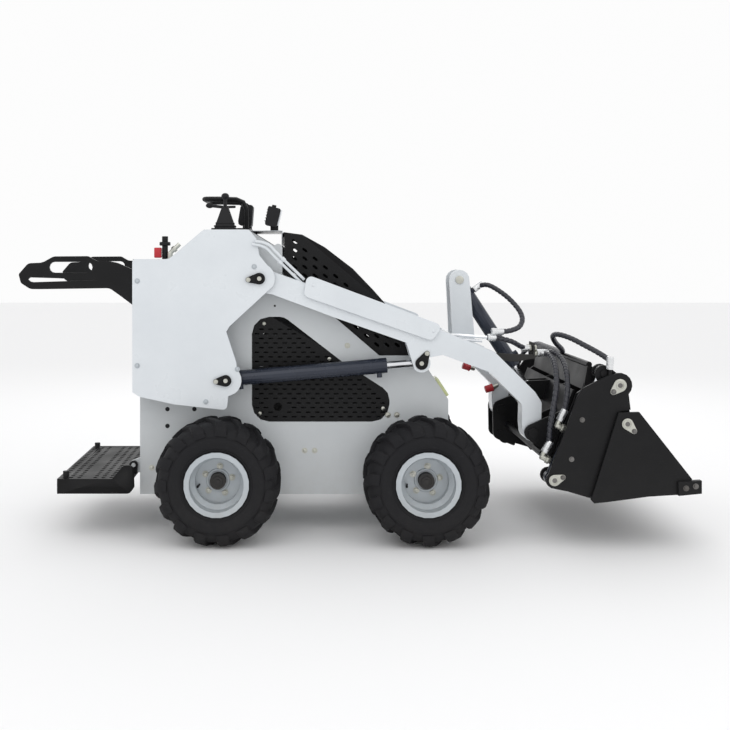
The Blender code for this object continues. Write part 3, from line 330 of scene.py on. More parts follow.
roundedNodes = {
    0.0016: ["lift_arm_right", "lift_arm_left", "arm_cross_tube", "outer_cover_right", "outer_cover_left",
             "hull_side_right", "hull_side_left", "quick_attach", "front_plate", "rear_deck", "rear_panel_lower",
             "rear_panel_upper", "dash_panel", "arm_cover_right", "arm_cover_left"],
    0.0012: ["bucket_back", "bucket_side_right", "bucket_side_left", "jaw_side_right", "jaw_side_left", "jaw_floor",
             "rear_handle_right", "rear_handle_left", "console", "work_light", "hose_bulkhead"],
}
for width, names in roundedNodes.items():
    for nodeName in names:
        thinnest = min(frame["nodes"][nodeName].dimensions)
        roundEdges(frame["nodes"][nodeName], min(width, edgeRounding["share"] * thinnest or width))


# tools for making pieces
def clearSelection():
    if bpy.context.object and bpy.context.object.mode != "OBJECT":
        bpy.ops.object.mode_set(mode="OBJECT")
    bpy.ops.object.select_all(action="DESELECT")


def only(piece):
    clearSelection()
    piece.select_set(True)
    bpy.context.view_layer.objects.active = piece
    return piece


def settle(piece, name):
    only(piece)
    bpy.ops.object.transform_apply(location=True, rotation=True, scale=True)
    piece.name = name
    piece.data.name = name
    return piece


def barBetween(name, start, end, radius, vertices=20):
    clearSelection()
    start, end = Vector(start), Vector(end)
    bpy.ops.mesh.primitive_cylinder_add(vertices=vertices, radius=radius, depth=(end - start).length,
                                        location=(start + end) / 2,
                                        rotation=(end - start).to_track_quat("Z", "Y").to_euler())
    return settle(bpy.context.object, name)


def boxPiece(name, size, place, rotation=(0, 0, 0)):
    clearSelection()
    bpy.ops.mesh.primitive_cube_add(size=1, location=place, rotation=rotation, scale=size)
    return settle(bpy.context.object, name)


def bevelPiece(piece, width, segments=2, angle=35.0):
    only(piece)
    bevel = piece.modifiers.new("bevel", "BEVEL")
    bevel.width = width
    bevel.segments = segments
    bevel.limit_method = "ANGLE"
    bevel.angle_limit = math.radians(angle)
    bpy.ops.object.modifier_apply(modifier="bevel")
    return piece


def roundedBar(name, start, end, radius, vertices, width, segments=2):
    return bevelPiece(barBetween(name, start, end, radius, vertices), width, segments)


def ballPiece(name, place, radius, scale, segments, rings):
    clearSelection()
    bpy.ops.mesh.primitive_uv_sphere_add(segments=segments, ring_count=rings, radius=radius, location=place,
                                         scale=scale)
    return settle(bpy.context.object, name)


def meshPiece(name, corners, edges, faces):
    mesh = bpy.data.meshes.new(name)
    mesh.from_pydata(corners, edges, faces)
    piece = bpy.data.objects.new(name, mesh)
    bpy.context.scene.collection.objects.link(piece)
    return piece


def editWhole(piece, *steps):
    # every step works on the whole mesh
    only(piece)
    bpy.ops.object.mode_set(mode="EDIT")
    for step in steps:
        bpy.ops.mesh.select_all(action="SELECT")
        step()
    bpy.ops.object.mode_set(mode="OBJECT")
    return piece


def weldVertices():
    bpy.ops.mesh.remove_doubles(threshold=weldDistance)


def faceOutward():
    bpy.ops.mesh.normals_make_consistent(inside=False)


def joinPieces(name, parts):
    clearSelection()
    for part in parts:
        part.select_set(True)
    bpy.context.view_layer.objects.active = parts[0]
    if len(parts) > 1:
        bpy.ops.object.join()
    parts[0].name = name
    parts[0].data.name = name
    return parts[0]


def copyPiece(piece, move=(0, 0, 0), turn=None):
    copied = piece.copy()
    copied.data = piece.data.copy()
    bpy.context.scene.collection.objects.link(copied)
    copied.data.transform(Matrix.Translation(move) @ (turn or Matrix.Identity(4)))
    return copied


def smooth(piece, angle=35.0):
    only(piece)
    bpy.ops.object.shade_smooth_by_angle(angle=math.radians(angle))
    return piece


def dress(piece, finish, body=None):
    piece.data.materials.clear()
    piece.data.materials.append(finishMaterials[finish])
    if body:
        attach(piece, body)
    return piece


def sidePoint(x, z, y):
    return Vector((x + axleX, y, z))


def rowPoint(point):
    return Vector((point[0] + axleX, point[1], point[2]))


def outlinePiece(name, points, yLow, yHigh):
    # a flat outline in the side view, filled and given its thickness
    clearSelection()
    piece = meshPiece(name, [sidePoint(x, z, yLow) for x, z in points], [], [list(range(len(points)))])
    thicken = {"value": (0, yHigh - yLow, 0)}
    return editWhole(piece, lambda: bpy.ops.mesh.extrude_region_move(TRANSFORM_OT_translate=thicken), faceOutward)


def cutCopy(nodeName, pieceName, cutters):
    # the frame's node with openings cut through it
    only(frame["nodes"][nodeName])
    bpy.ops.object.duplicate()
    piece = bpy.context.object
    bpy.ops.object.parent_clear(type="CLEAR_KEEP_TRANSFORM")
    settle(piece, pieceName)
    editWhole(piece, weldVertices)
    cutter = joinPieces("cutter", cutters)
    step = piece.modifiers.new("cut", "BOOLEAN")
    step.operation = "DIFFERENCE"
    step.solver = "EXACT"
    step.object = cutter
    only(piece)
    bpy.ops.object.modifier_apply(modifier="cut")
    bpy.data.objects.remove(cutter)
    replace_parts(piece, nodeName)
    return piece


def pill(x, z, length, height, slope, yLow, yHigh, steps=4):
    # round-ended slot in the side view
    points = []
    for end in (1, -1):
        for k in range(steps + 1):
            turn = math.radians(slope + (90 if end < 0 else -90) + 180 * k / steps)
            centre = (x + end * (length - height) / 2 * math.cos(math.radians(slope)),
                      z + end * (length - height) / 2 * math.sin(math.radians(slope)))
            points.append((centre[0] + height / 2 * math.cos(turn), centre[1] + height / 2 * math.sin(turn)))
    return outlinePiece("slot", points, yLow, yHigh)


# tyres
tyreValues = {"radius": 0.2285, "halfWidth": 0.108, "centreY": 0.417, "lugs": 15, "lugFlare": 1.35, "steps": 60,
              "frontTurn": 7, "rings": [(0.1720, 0.1062), (0.1275, 0.0990)], "ringRadius": 0.0014,
              "profile": [(0.000, 0.2160), (0.045, 0.2145), (0.075, 0.2085), (0.094, 0.1975), (0.1035, 0.182),
                          (0.1068, 0.165), (0.1060, 0.148), (0.1010, 0.132), (0.0935, 0.1205), (0.0885, 0.1165),
                          (0.0885, 0.1035)]}
lugSections = [
    # across, top radius, root radius, angle of its middle, half width, both in degrees
    (-0.004, 0.2283, 0.210, -9.5, 2.2), (0.030, 0.2280, 0.208, -4.5, 2.9), (0.062, 0.2262, 0.204, 0.5, 3.6),
    (0.086, 0.2190, 0.198, 4.0, 4.6), (0.1010, 0.2075, 0.186, 5.2, 5.4), (0.1078, 0.1930, 0.178, 5.6, 5.0),
    (0.1076, 0.1830, 0.1760, 5.6, 3.8)]


def spinProfile(name, profile, steps):
    # turned about the Y axis through the origin
    clearSelection()
    piece = meshPiece(name, [(0, y, r) for y, r in profile], [(k, k + 1) for k in range(len(profile) - 1)], [])
    turning = {"steps": steps, "angle": 2 * math.pi, "center": (0, 0, 0), "axis": (0, 1, 0)}
    return editWhole(piece, lambda: bpy.ops.mesh.spin(**turning), weldVertices, faceOutward)


def makeLug(side):
    corners, faces = [], []
    for across, top, root, middle, half in lugSections:
        for radius, lean in ((root, half * tyreValues["lugFlare"]), (top, half)):
            for turnSign in (-1, 1):
                turn = math.radians(middle + turnSign * lean)
                corners.append((radius * math.sin(turn), side * across, radius * math.cos(turn)))
    for k in range(len(lugSections) - 1):
        a = 4 * k
        faces += [(a, a + 2, a + 6, a + 4), (a + 2, a + 3, a + 7, a + 6), (a + 3, a + 1, a + 5, a + 7),
                  (a + 1, a, a + 4, a + 5)]
    last = 4 * (len(lugSections) - 1)
    faces += [(0, 1, 3, 2), (last, last + 2, last + 3, last + 1)]
    lug = editWhole(meshPiece("lug", corners, [], faces), faceOutward)
    return bevelPiece(lug, 0.0018, 1, 30.0)


def makeTyre():
    half = tyreValues["profile"]
    carcass = spinProfile("tyre", [(-y, r) for y, r in half[:0:-1]] + half, tyreValues["steps"])
    parts = [carcass]
    pitch = 360.0 / tyreValues["lugs"]
    for side, offset in ((-1, 0.0), (1, 0.5)):
        lug = makeLug(side)
        for k in range(tyreValues["lugs"]):
            parts.append(copyPiece(lug, turn=Matrix.Rotation(math.radians((k + offset) * pitch), 4, "Y")))
        bpy.data.objects.remove(lug)
    for side in (-1, 1):                 # raised rings moulded in each side wall
        for radius, across in tyreValues["rings"]:
            clearSelection()
            bpy.ops.mesh.primitive_torus_add(major_radius=radius, minor_radius=tyreValues["ringRadius"],
                                             major_segments=60, minor_segments=6, rotation=(math.pi / 2, 0, 0),
                                             location=(0, side * across, 0))
            parts.append(settle(bpy.context.object, "ring"))
    return smooth(joinPieces("tyre", parts), 32.0)


wheelPlaces = {"rear_right": (0.0, -1), "rear_left": (0.0, 1), "front_right": (0.754, -1), "front_left": (0.754, 1)}
masterTyre = makeTyre()
for wheelName, (wheelX, wheelSide) in wheelPlaces.items():
    centre = sidePoint(wheelX, tyreValues["radius"], wheelSide * tyreValues["centreY"])
    flip = Matrix.Rotation(math.pi if wheelSide > 0 else 0, 4, "Z")
    treadTurn = math.radians(tyreValues["frontTurn"] if wheelX else 0)
    tyre = copyPiece(masterTyre, centre, flip @ Matrix.Rotation(treadTurn, 4, "Y"))
    tyre.name = f"tyreTread_{wheelName}"
    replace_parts(dress(tyre, "tyreRubber", f"wheel_{wheelName}"), f"tyre_{wheelName}")
bpy.data.objects.remove(masterTyre)
print("tyres made")


# wheel centres: nuts, hub ring, hexagon in the spindle's end, valve
hubValues = {"nuts": 5, "nutCircle": 0.051, "nutRadius": 0.0095, "nutHeight": 0.012, "firstNut": 83, "face": 0.0045,
             "sunk": 0.0004, "spindle": 0.447,
             "ring": [(0, 0.0345), (0.004, 0.0345), (0.005, 0.0355), (0.005, 0.041), (0.003, 0.043), (0, 0.043)]}
valveParts = {"stem": ((-0.068, 0.212, 0), (-0.071, 0.211, 0.022), 0.0035),
              "cap": ((-0.0708, 0.211, 0.020), (-0.072, 0.2105, 0.032), 0.0046)}


def hexNut(name, place, side, radius, height):
    def outward(share):
        return place + Vector((0, side * height * share, 0))

    washer = barBetween("washer", place, outward(0.18), radius * 1.25, 20)
    nut = roundedBar("nut", outward(0.15), outward(1), radius, 6, radius * 0.10)
    stud = roundedBar("stud", place, outward(1.35), radius * 0.52, 12, radius * 0.12, 1)
    return joinPieces(name, [nut, washer, stud])


for wheelName, (wheelX, side) in wheelPlaces.items():
    disc = side * (tyreValues["centreY"] + hubValues["face"])
    nuts = []
    for k in range(hubValues["nuts"]):
        turn = math.radians(hubValues["firstNut"] + 360 / hubValues["nuts"] * k)
        place = sidePoint(wheelX + hubValues["nutCircle"] * math.cos(turn),
                          tyreValues["radius"] + hubValues["nutCircle"] * math.sin(turn), disc)
        nuts.append(hexNut("nut", place, side, hubValues["nutRadius"], hubValues["nutHeight"]))
    dress(smooth(joinPieces(f"wheelNuts_{wheelName}", nuts)), "zincPlate", f"wheel_{wheelName}")
    collar = spinProfile("hubRing", [(side * y, r) for y, r in hubValues["ring"]], 36)
    seat = sidePoint(wheelX, tyreValues["radius"], disc - side * hubValues["sunk"])
    collar.data.transform(Matrix.Translation(seat))
    collar.name = f"hubRing_{wheelName}"
    dress(smooth(collar), "rimPaint", f"wheel_{wheelName}")
    valve = joinPieces(f"valve_{wheelName}", [
        barBetween(partName, *(sidePoint(wheelX + x, z, disc + side * y) for x, z, y in (start, end)), radius, 12)
        for partName, (start, end, radius) in valveParts.items()])
    dress(smooth(valve), "blackPlastic", f"wheel_{wheelName}")
    spindleEnd, capFace, tipFace = (sidePoint(wheelX, tyreValues["radius"], side * (hubValues["spindle"] + reach))
                                    for reach in (0, 0.004, 0.007))
    cap = joinPieces(f"spindleCap_{wheelName}", [roundedBar("spindleCap", spindleEnd, capFace, 0.0205, 6, 0.002),
                                                 roundedBar("tip", spindleEnd, tipFace, 0.009, 16, 0.001, 1)])
    dress(smooth(cap), "castIron", "machine_frame")
print("wheel centres made")


# perforated sheets: hood, side grilles and step
hoodSlots = {"first": (0.276, 1.098), "along": (0.0390, -0.0330), "down": -0.0320, "length": 0.025,
             "height": 0.0095, "slope": -38.0, "clearOfEdge": 0.016, "start": 0.252, "halfWidth": 0.30}
hoodTop = [(0.237, 1.130), (0.305, 1.121), (0.391, 1.073), (0.498, 0.991), (0.5765, 0.909), (0.640, 0.837),
           (0.697, 0.754), (0.735, 0.688)]
hoodFoot = [(0.237, 0.990), (0.429, 0.822), (0.597, 0.678), (0.740, 0.678)]
# lower edge of the dark sheets that paint the shade inside the hood
shadeSheetFoot = [(0.690, 0.700), (0.600, 0.700), (0.440, 0.840), (0.250, 1.000)]


def heightAt(line, x):
    for (x0, z0), (x1, z1) in zip(line, line[1:]):
        if x0 <= x <= x1:
            return z0 + (z1 - z0) * (x - x0) / (x1 - x0)
    return None


slotCutters = []
for column in range(-3, 15):
    for row in range(0, 14):
        x = hoodSlots["first"][0] + column * hoodSlots["along"][0]
        z = hoodSlots["first"][1] + column * hoodSlots["along"][1] + row * hoodSlots["down"]
        top, foot = heightAt(hoodTop, x), heightAt(hoodFoot, x)
        if x < hoodSlots["start"] or top is None or foot is None or z > top - hoodSlots["clearOfEdge"] or z < foot:
            continue
        slotCutters.append(pill(x, z, hoodSlots["length"], hoodSlots["height"], hoodSlots["slope"],
                                -hoodSlots["halfWidth"], hoodSlots["halfWidth"], 2))
hoodPiece = cutCopy("hood", "hoodWithVents", slotCutters)
dress(smooth(hoodPiece), "blackPaint", "engine_hood")

# painted shade: dark sheets inside the hood stand in for the shade in the engine bay, so that its slots don't show
# daylight
shadeSheetEdge = [(x + 0.006, z - 0.014) for x, z in hoodTop[1:-1]] + shadeSheetFoot
for word, side in bothSides:
    shadeSheet = outlinePiece("shadeSheet", shadeSheetEdge, side * 0.110, side * 0.114)
    dress(shadeSheet, "blackPlastic", "engine_hood").name = "hoodShadeSheet"

grilleSlots = {"first": (0.132, 0.432), "pitch": (0.0355, 0.0175), "length": 0.020, "height": 0.0052,
               "clearOfEdge": 0.020, "lastX": 0.612, "middleY": 0.24, "reach": 0.02}
grilleRound = {"place": (0.213, 0.470), "radius": 0.016, "clear": 0.032}
grilleEdge = [(0.112, 0.800), (0.232, 0.802), (0.4525, 0.645), (0.5795, 0.563), (0.634, 0.500)]
for word, side in bothSides:
    yLow, yHigh = (side * grilleSlots["middleY"] + end * grilleSlots["reach"] for end in (-1, 1))
    cutters = []
    for row in range(22):
        for column in range(16):
            x = grilleSlots["first"][0] + (column + 0.5 * (row % 2)) * grilleSlots["pitch"][0]
            z = grilleSlots["first"][1] + row * grilleSlots["pitch"][1]
            top = heightAt(grilleEdge, x)
            if top is None or z > top - grilleSlots["clearOfEdge"] or x > grilleSlots["lastX"]:
                continue
            if math.dist((x, z), grilleRound["place"]) < grilleRound["clear"]:
                continue
            cutters.append(pill(x, z, grilleSlots["length"], grilleSlots["height"], 0, yLow, yHigh, 2))
    cutters.append(barBetween("round", sidePoint(*grilleRound["place"], side * 0.22),
                              sidePoint(*grilleRound["place"], side * 0.26), grilleRound["radius"], 24))
    grille = cutCopy(f"side_grille_{word}", f"grilleWithSlots_{word}", cutters)
    dress(smooth(grille), "blackPaint", "machine_frame")

# the step's holes leave out its two bends and its corner bolts
stepHoles = {"first": (-0.588, -0.3135), "pitch": (0.030, 0.033), "radius": 0.0085, "bends": (-0.498, -0.398),
             "clearOfBend": 0.006, "bolt": (-0.58, 0.30), "clearOfBolt": 0.024}
cutters = []
for row in range(9):
    for column in range(20):
        x = stepHoles["first"][0] + row * stepHoles["pitch"][0]
        y = stepHoles["first"][1] + column * stepHoles["pitch"][1]
        nearBend = min(abs(x - bend) for bend in stepHoles["bends"]) < stepHoles["clearOfBend"]
        if nearBend or math.dist((x, abs(y)), stepHoles["bolt"]) < stepHoles["clearOfBolt"]:
            continue
        cutters.append(barBetween("round", sidePoint(x, 0.205, y), sidePoint(x, 0.225, y), stepHoles["radius"], 12))
stepPiece = cutCopy("platform", "stepWithHoles", cutters)
dress(smooth(stepPiece), "blackPaint", "step_platform")
print("perforated sheets cut")


# bolts and screws, as (x, z) on each side, with the face they stand on and their size
def boltHead(place, side, radius, height=None):
    height = height or radius * 0.75
    head = roundedBar("head", place, place + Vector((0, side * height, 0)), radius, 6, radius * 0.14)
    washer = barBetween("washer", place, place + Vector((0, side * height * 0.22, 0)), radius * 1.45, 20)
    return joinPieces("bolt", [head, washer])


def screwHead(place, side, radius):
    return ballPiece("screw", place, radius, (1, 0.42, 1), 16, 8)


boltSets = {
    "hullBolts": {"body": "machine_frame", "face": 0.255, "finish": "zincPlate", "radius": 0.0075, "kind": boltHead,
                  "places": [(0.314, 0.305), (0.352, 0.305), (0.630, 0.440), (0.664, 0.440), (0.476, 0.703),
                             (-0.265, 0.240)]},
    "grilleScrews": {"body": "machine_frame", "face": 0.2487, "finish": "zincPlate", "radius": 0.0075,
                     "kind": screwHead,
                     "places": [(0.160, 0.786), (0.408, 0.652), (0.144, 0.445), (0.612, 0.464)]},
    "coverBolts": {"body": "machine_frame", "face": 0.366, "finish": "rimPaint", "radius": 0.0068, "kind": boltHead,
                   "places": [(-0.303, 0.950), (-0.303, 0.638), (0.128, 1.003), (0.066, 0.625), (-0.05, 0.505)]},
    "armBolts": {"body": "lift_arms", "face": 0.3635, "finish": "whitePaint", "radius": 0.0060, "kind": screwHead,
                 "places": [(0.345, 0.935), (0.790, 0.765)]},
    "sideBolts": {"body": "bucket", "face": 0.506, "finish": "wornSteel", "radius": 0.0065, "kind": boltHead,
                  "places": [(1.300, 0.460), (1.262, 0.320)]},
}
for setName, values in boltSets.items():
    heads = []
    for side in (-1, 1):
        for x, z in values["places"]:
            heads.append(values["kind"](sidePoint(x, z, side * values["face"]), side, values["radius"]))
    dress(smooth(joinPieces(setName, heads)), values["finish"], values["body"])
print("bolts placed")


# pin retainers: a teardrop plate over each pin with its bolt
retainerThickness = 0.0045


def teardrop(name, pin, bolt, pinRadius, boltRadius, yFrom, yTo):
    span = Vector(bolt) - Vector(pin)
    aim = math.degrees(math.atan2(span.y, span.x))
    lean = math.degrees(math.acos((pinRadius - boltRadius) / span.length))
    points = []
    for k in range(17):
        turn = math.radians(aim + lean + (360 - 2 * lean) * k / 16)
        points.append((pin[0] + pinRadius * math.cos(turn), pin[1] + pinRadius * math.sin(turn)))
    for k in range(9):
        turn = math.radians(aim - lean + 2 * lean * k / 8)
        points.append((bolt[0] + boltRadius * math.cos(turn), bolt[1] + boltRadius * math.sin(turn)))
    plate = outlinePiece(name, points, yFrom, yTo)
    return bevelPiece(plate, 0.0008, 2)


retainers = {
    # pin, bolt, plate radii, face it stands on, plate finish, bolt finish, body
    "armPivot": ((0.147, 0.959), (0.106, 0.955), 0.0215, 0.0095, 0.372, "blackPaint", "zincPlate", "machine_frame"),
    "liftBase": ((0.023, 0.583), (-0.013, 0.580), 0.0215, 0.0095, 0.372, "blackPaint", "zincPlate", "machine_frame"),
    "jawHinge": ((1.434, 0.5825), (1.410, 0.560), 0.0230, 0.0110, 0.506, "zincPlate", "wornSteel", "bucket"),
    "jawPin": ((1.455, 0.448), (1.478, 0.423), 0.0200, 0.0100, 0.5235, "zincPlate", "wornSteel", "clam_jaw"),
    "clamBase": ((1.201, 0.245), (1.230, 0.256), 0.0200, 0.0100, 0.506, "zincPlate", "wornSteel", "bucket"),
    "liftEye": ((0.747, 0.6445), (0.767, 0.682), 0.0235, 0.0095, 0.350, "blackPaint", "zincPlate", "lift_arms"),
}
for retainerName, retainer in retainers.items():
    pin, boltPlace, pinRadius, boltRadius, face, plateFinish, boltFinish, body = retainer
    front = face + retainerThickness
    for word, side in bothSides:
        plate = teardrop("plate", pin, boltPlace, pinRadius, boltRadius, side * (face - 0.0005), side * front)
        ring = spinProfile("ring", [(0, 0.0118), (side * 0.0022, 0.0122), (side * 0.0022, 0.0150), (0, 0.0156)], 24)
        ring.data.transform(Matrix.Translation(sidePoint(*pin, side * front)))
        plate = joinPieces(f"{retainerName}Retainer_{word}", [plate, ring])
        dress(smooth(plate), plateFinish, body)
        head = boltHead(sidePoint(*boltPlace, side * front), side, boltRadius * 0.62)
        nose = roundedBar("nose", sidePoint(*pin, side * (face + 0.0040)), sidePoint(*pin, side * (face + 0.0060)),
                          0.0085, 20, 0.0006, 1)
        bolt = joinPieces(f"{retainerName}Bolt_{word}", [head, nose])
        dress(smooth(bolt), boltFinish, body)
print("pin retainers placed")


# hoses: a spiral guard round each one, along the frame's own routes
hoseValues = {"radius": 0.0100, "groove": 0.0024, "pitch": 0.0190, "sides": 18, "step": 0.0017, "plainEnd": 0.034,
              "fade": 0.008, "grooveShare": 0.40}
crimpValues = {"length": 0.034, "radius": 0.0126, "rings": 3, "firstRing": 0.009, "ringPitch": 0.008,
               "ringWidth": 0.0035, "ringRadius": 0.0136, "nutRadius": 0.0140, "nutSpan": (-0.012, 0.003)}
cylinderPlaces = {"tilt": ((0.931, 0.948), (1.212, 0.5145)), "clam": ((1.201, 0.245), (1.383, 0.622))}
clamY, portReach, baseElbow, glandElbow = 0.4535, 0.0605, 0.0825, 0.2085


def cylinderPoint(kind, along, across, y):
    base, eye = Vector(cylinderPlaces[kind][0]), Vector(cylinderPlaces[kind][1])
    aim = (eye - base).normalized()
    place = base + aim * along + Vector((-aim.y, aim.x)) * across
    return (place.x, y, place.y)


hoseRoutes = {
    "tilt_hose": [cylinderPoint("tilt", 0.070, 0.0434, 0), cylinderPoint("tilt", 0.070, 0.064, 0),
                  (1.056, -0.036, 0.9240), (1.108, -0.100, 0.8850), (1.145, -0.150, 0.8375), (1.153, -0.190, 0.8020),
                  (1.136, -0.222, 0.7740), (1.102, -0.247, 0.7610), (1.068, -0.258, 0.7565), (1.0335, -0.2615, 0.7560)],
    "bulkhead_hose": [(1.0045, -0.2615, 0.7350), (1.050, -0.257, 0.7310), (1.100, -0.246, 0.7180),
                      (1.135, -0.226, 0.7000), (1.158, -0.215, 0.6900), (1.1775, -0.215, 0.6900)],
    "clam_hose_base": [(1.2145, -0.215, 0.6700), (1.233, -0.215, 0.6700), (1.246, -0.255, 0.6640),
                       (1.247, -0.310, 0.6460), (1.240, -0.370, 0.6150), (1.229, -0.420, 0.5650),
                       (1.211, -0.447, 0.4900), (1.1980, -0.4535, 0.4250),
                       cylinderPoint("clam", baseElbow + 0.026, portReach, -clamY),
                       cylinderPoint("clam", baseElbow, portReach, -clamY)],
    "clam_hose_gland": [(1.2145, -0.180, 0.6700), (1.235, -0.180, 0.6700), (1.262, -0.210, 0.6740),
                        (1.278, -0.260, 0.6640), (1.281, -0.320, 0.6420), (1.276, -0.380, 0.6120),
                        (1.268, -0.425, 0.5700), (1.258, -0.4490, 0.5200),
                        cylinderPoint("clam", glandElbow + 0.026, portReach, -clamY),
                        cylinderPoint("clam", glandElbow, portReach, -clamY)],
    "guard_hose": [cylinderPoint("clam", glandElbow, portReach, clamY),
                   cylinderPoint("clam", glandElbow + 0.026, portReach, clamY), (1.258, 0.4490, 0.5200),
                   (1.272, 0.4300, 0.5850), (1.302, 0.398, 0.6400), (1.330, 0.340, 0.6615), (1.3369, 0.240, 0.6613),
                   (1.3369, 0.080, 0.6613), (1.3369, -0.060, 0.6613), (1.322, -0.120, 0.6780), (1.288, -0.165, 0.7060),
                   (1.266, -0.210, 0.7320), (1.264, -0.255, 0.7450), (1.278, -0.300, 0.7460), (1.306, -0.345, 0.7350),
                   (1.338, -0.390, 0.7160), (1.370, -0.4350, 0.6960), (1.392, -0.475, 0.6790), (1.400, -0.4990, 0.6670),
                   (1.4000, -0.500, 0.6505)],
}
hoseBodies = {"tilt_hose": "lift_arms", "bulkhead_hose": "lift_arms", "guard_hose": "bucket"}


def evenLine(route, step):
    # smooth curve through the route's points, cut into even steps
    points = [rowPoint(point) for point in route]
    ends = [points[0] * 2 - points[1]] + points + [points[-1] * 2 - points[-2]]
    fine = []
    for a, b, c, d in zip(ends, ends[1:], ends[2:], ends[3:]):
        for k in range(40):
            t = k / 40
            fine.append(0.5 * (2 * b + (c - a) * t + (2 * a - 5 * b + 4 * c - d) * t * t
                               + (3 * b - a - 3 * c + d) * t ** 3))
    fine.append(points[-1])
    total = sum((q - p).length for p, q in zip(fine, fine[1:]))
    count = max(4, round(total / step))
    line, walked = [fine[0]], 0.0
    for p, q in zip(fine, fine[1:]):
        reach = (q - p).length
        while len(line) < count and walked + reach >= len(line) * total / count:
            line.append(p.lerp(q, (len(line) * total / count - walked) / max(reach, 1e-9)))
        walked += reach
    line.append(fine[-1])
    return line, total


def sweepTube(name, line, total, radius, sides, groove=0.0, pitch=0.02, plainEnd=0.0):
    # rings carried along the line without twist; the groove runs round them as a spiral
    aim = (line[1] - line[0]).normalized()
    across = aim.orthogonal().normalized()
    corners, faces = [], []
    step = total / (len(line) - 1)
    for k, place in enumerate(line):
        ahead = (line[min(k + 1, len(line) - 1)] - line[max(k - 1, 0)]).normalized()
        across = (across - ahead * across.dot(ahead)).normalized()
        upward = ahead.cross(across)
        walked = k * step
        plainLeft = min(walked, total - walked) - plainEnd
        fade = min(1.0, max(0.0, plainLeft / hoseValues["fade"])) if plainEnd else 1.0
        for j in range(sides):
            phase = (walked / pitch + j / sides) % 1.0
            inGroove = (phase - 1 + hoseValues["grooveShare"]) / hoseValues["grooveShare"]
            dip = 0.5 - 0.5 * math.cos(2 * math.pi * inGroove) if inGroove > 0 else 0.0
            turn = 2 * math.pi * j / sides
            reach = radius - groove * dip * fade
            corners.append(place + across * (reach * math.cos(turn)) + upward * (reach * math.sin(turn)))
    for k in range(len(line) - 1):
        for j in range(sides):
            a, b = k * sides + j, k * sides + (j + 1) % sides
            faces.append((a, b, b + sides, a + sides))
    faces.append(tuple(range(sides))[::-1])
    faces.append(tuple(range((len(line) - 1) * sides, len(line) * sides)))
    return smooth(meshPiece(name, corners, [], faces), 40.0)


def crimp(name, end, toward, body, nut):
    # pressed sleeve with rings, and the nut that holds it to its port
    aim = (toward - end).normalized()
    parts = [roundedBar("sleeve", end + aim * 0.0015, end + aim * crimpValues["length"], crimpValues["radius"], 24,
                        0.0012)]
    for k in range(crimpValues["rings"]):
        ringStart = crimpValues["firstRing"] + crimpValues["ringPitch"] * k
        ringEnd = ringStart + crimpValues["ringWidth"]
        parts.append(roundedBar("ring", end + aim * ringStart, end + aim * ringEnd, crimpValues["ringRadius"], 24,
                                0.0008))
    if nut:
        nutStart, nutEnd = crimpValues["nutSpan"]
        parts.append(roundedBar("nut", end + aim * nutStart, end + aim * nutEnd, crimpValues["nutRadius"], 6, 0.0010))
    return dress(smooth(joinPieces(name, parts)), "brightSteel", body)


for hoseName, route in hoseRoutes.items():
    line, total = evenLine(route, hoseValues["step"])
    hose = sweepTube(f"{hoseName}Guard", line, total, hoseValues["radius"], hoseValues["sides"], hoseValues["groove"],
                     hoseValues["pitch"], hoseValues["plainEnd"])
    dress(hose, "hoseCover")
    startBody = endBody = hoseBodies.get(hoseName)
    if startBody:
        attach(hose, startBody)
    else:
        startBody, endBody = "lift_arms", "bucket"
        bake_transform(hose)
    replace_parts(hose, hoseName)
    hasNuts = hoseName != "bulkhead_hose"
    firstCrimp = crimp(f"{hoseName}Start", line[0], line[8], startBody, hasNuts)
    lastCrimp = crimp(f"{hoseName}End", line[-1], line[-9], endBody, hasNuts)
print("hoses made")

# lock nuts of the bulkhead fittings, each between two distances along X
bulkheadNuts = []
for y in (-0.215, -0.180):
    for z, near, far in ((0.690, 1.1715, 1.1815), (0.690, 1.1935, 1.2015), (0.670, 1.1935, 1.2035)):
        bulkheadNuts.append(roundedBar("nut", rowPoint((near, y, z)), rowPoint((far, y, z)), 0.0128, 6, 0.0010))
dress(smooth(joinPieces("bulkheadNuts", bulkheadNuts)), "zincPlate", "lift_arms")

# plated elbows over the clam cylinders' ports
elbowValues = {"along": (0.052, 0.178), "foot": 0.026, "top": portReach + 0.0058, "mouth": 0.0285, "back": -0.0075,
               "collar": (0.15, 0.48)}
for word, side in bothSides:
    parts = []
    for along in elbowValues["along"]:
        foot, top = (rowPoint(cylinderPoint("clam", along, elbowValues[end], side * clamY)) for end in ("foot", "top"))
        mouth, back = (rowPoint(cylinderPoint("clam", along + elbowValues[end], portReach, side * clamY))
                       for end in ("mouth", "back"))
        low, high = (foot + (top - foot) * share for share in elbowValues["collar"])
        parts.append(roundedBar("post", foot, top, 0.0106, 20, 0.0016, 3))
        parts.append(roundedBar("arm", back, mouth, 0.0092, 20, 0.0016, 3))
        parts.append(roundedBar("hexagon", low, high, 0.0150, 6, 0.0012))
    dress(smooth(joinPieces(f"clamPorts_{word}", parts)), "zincPlate", f"clam_barrel_body_{word}")

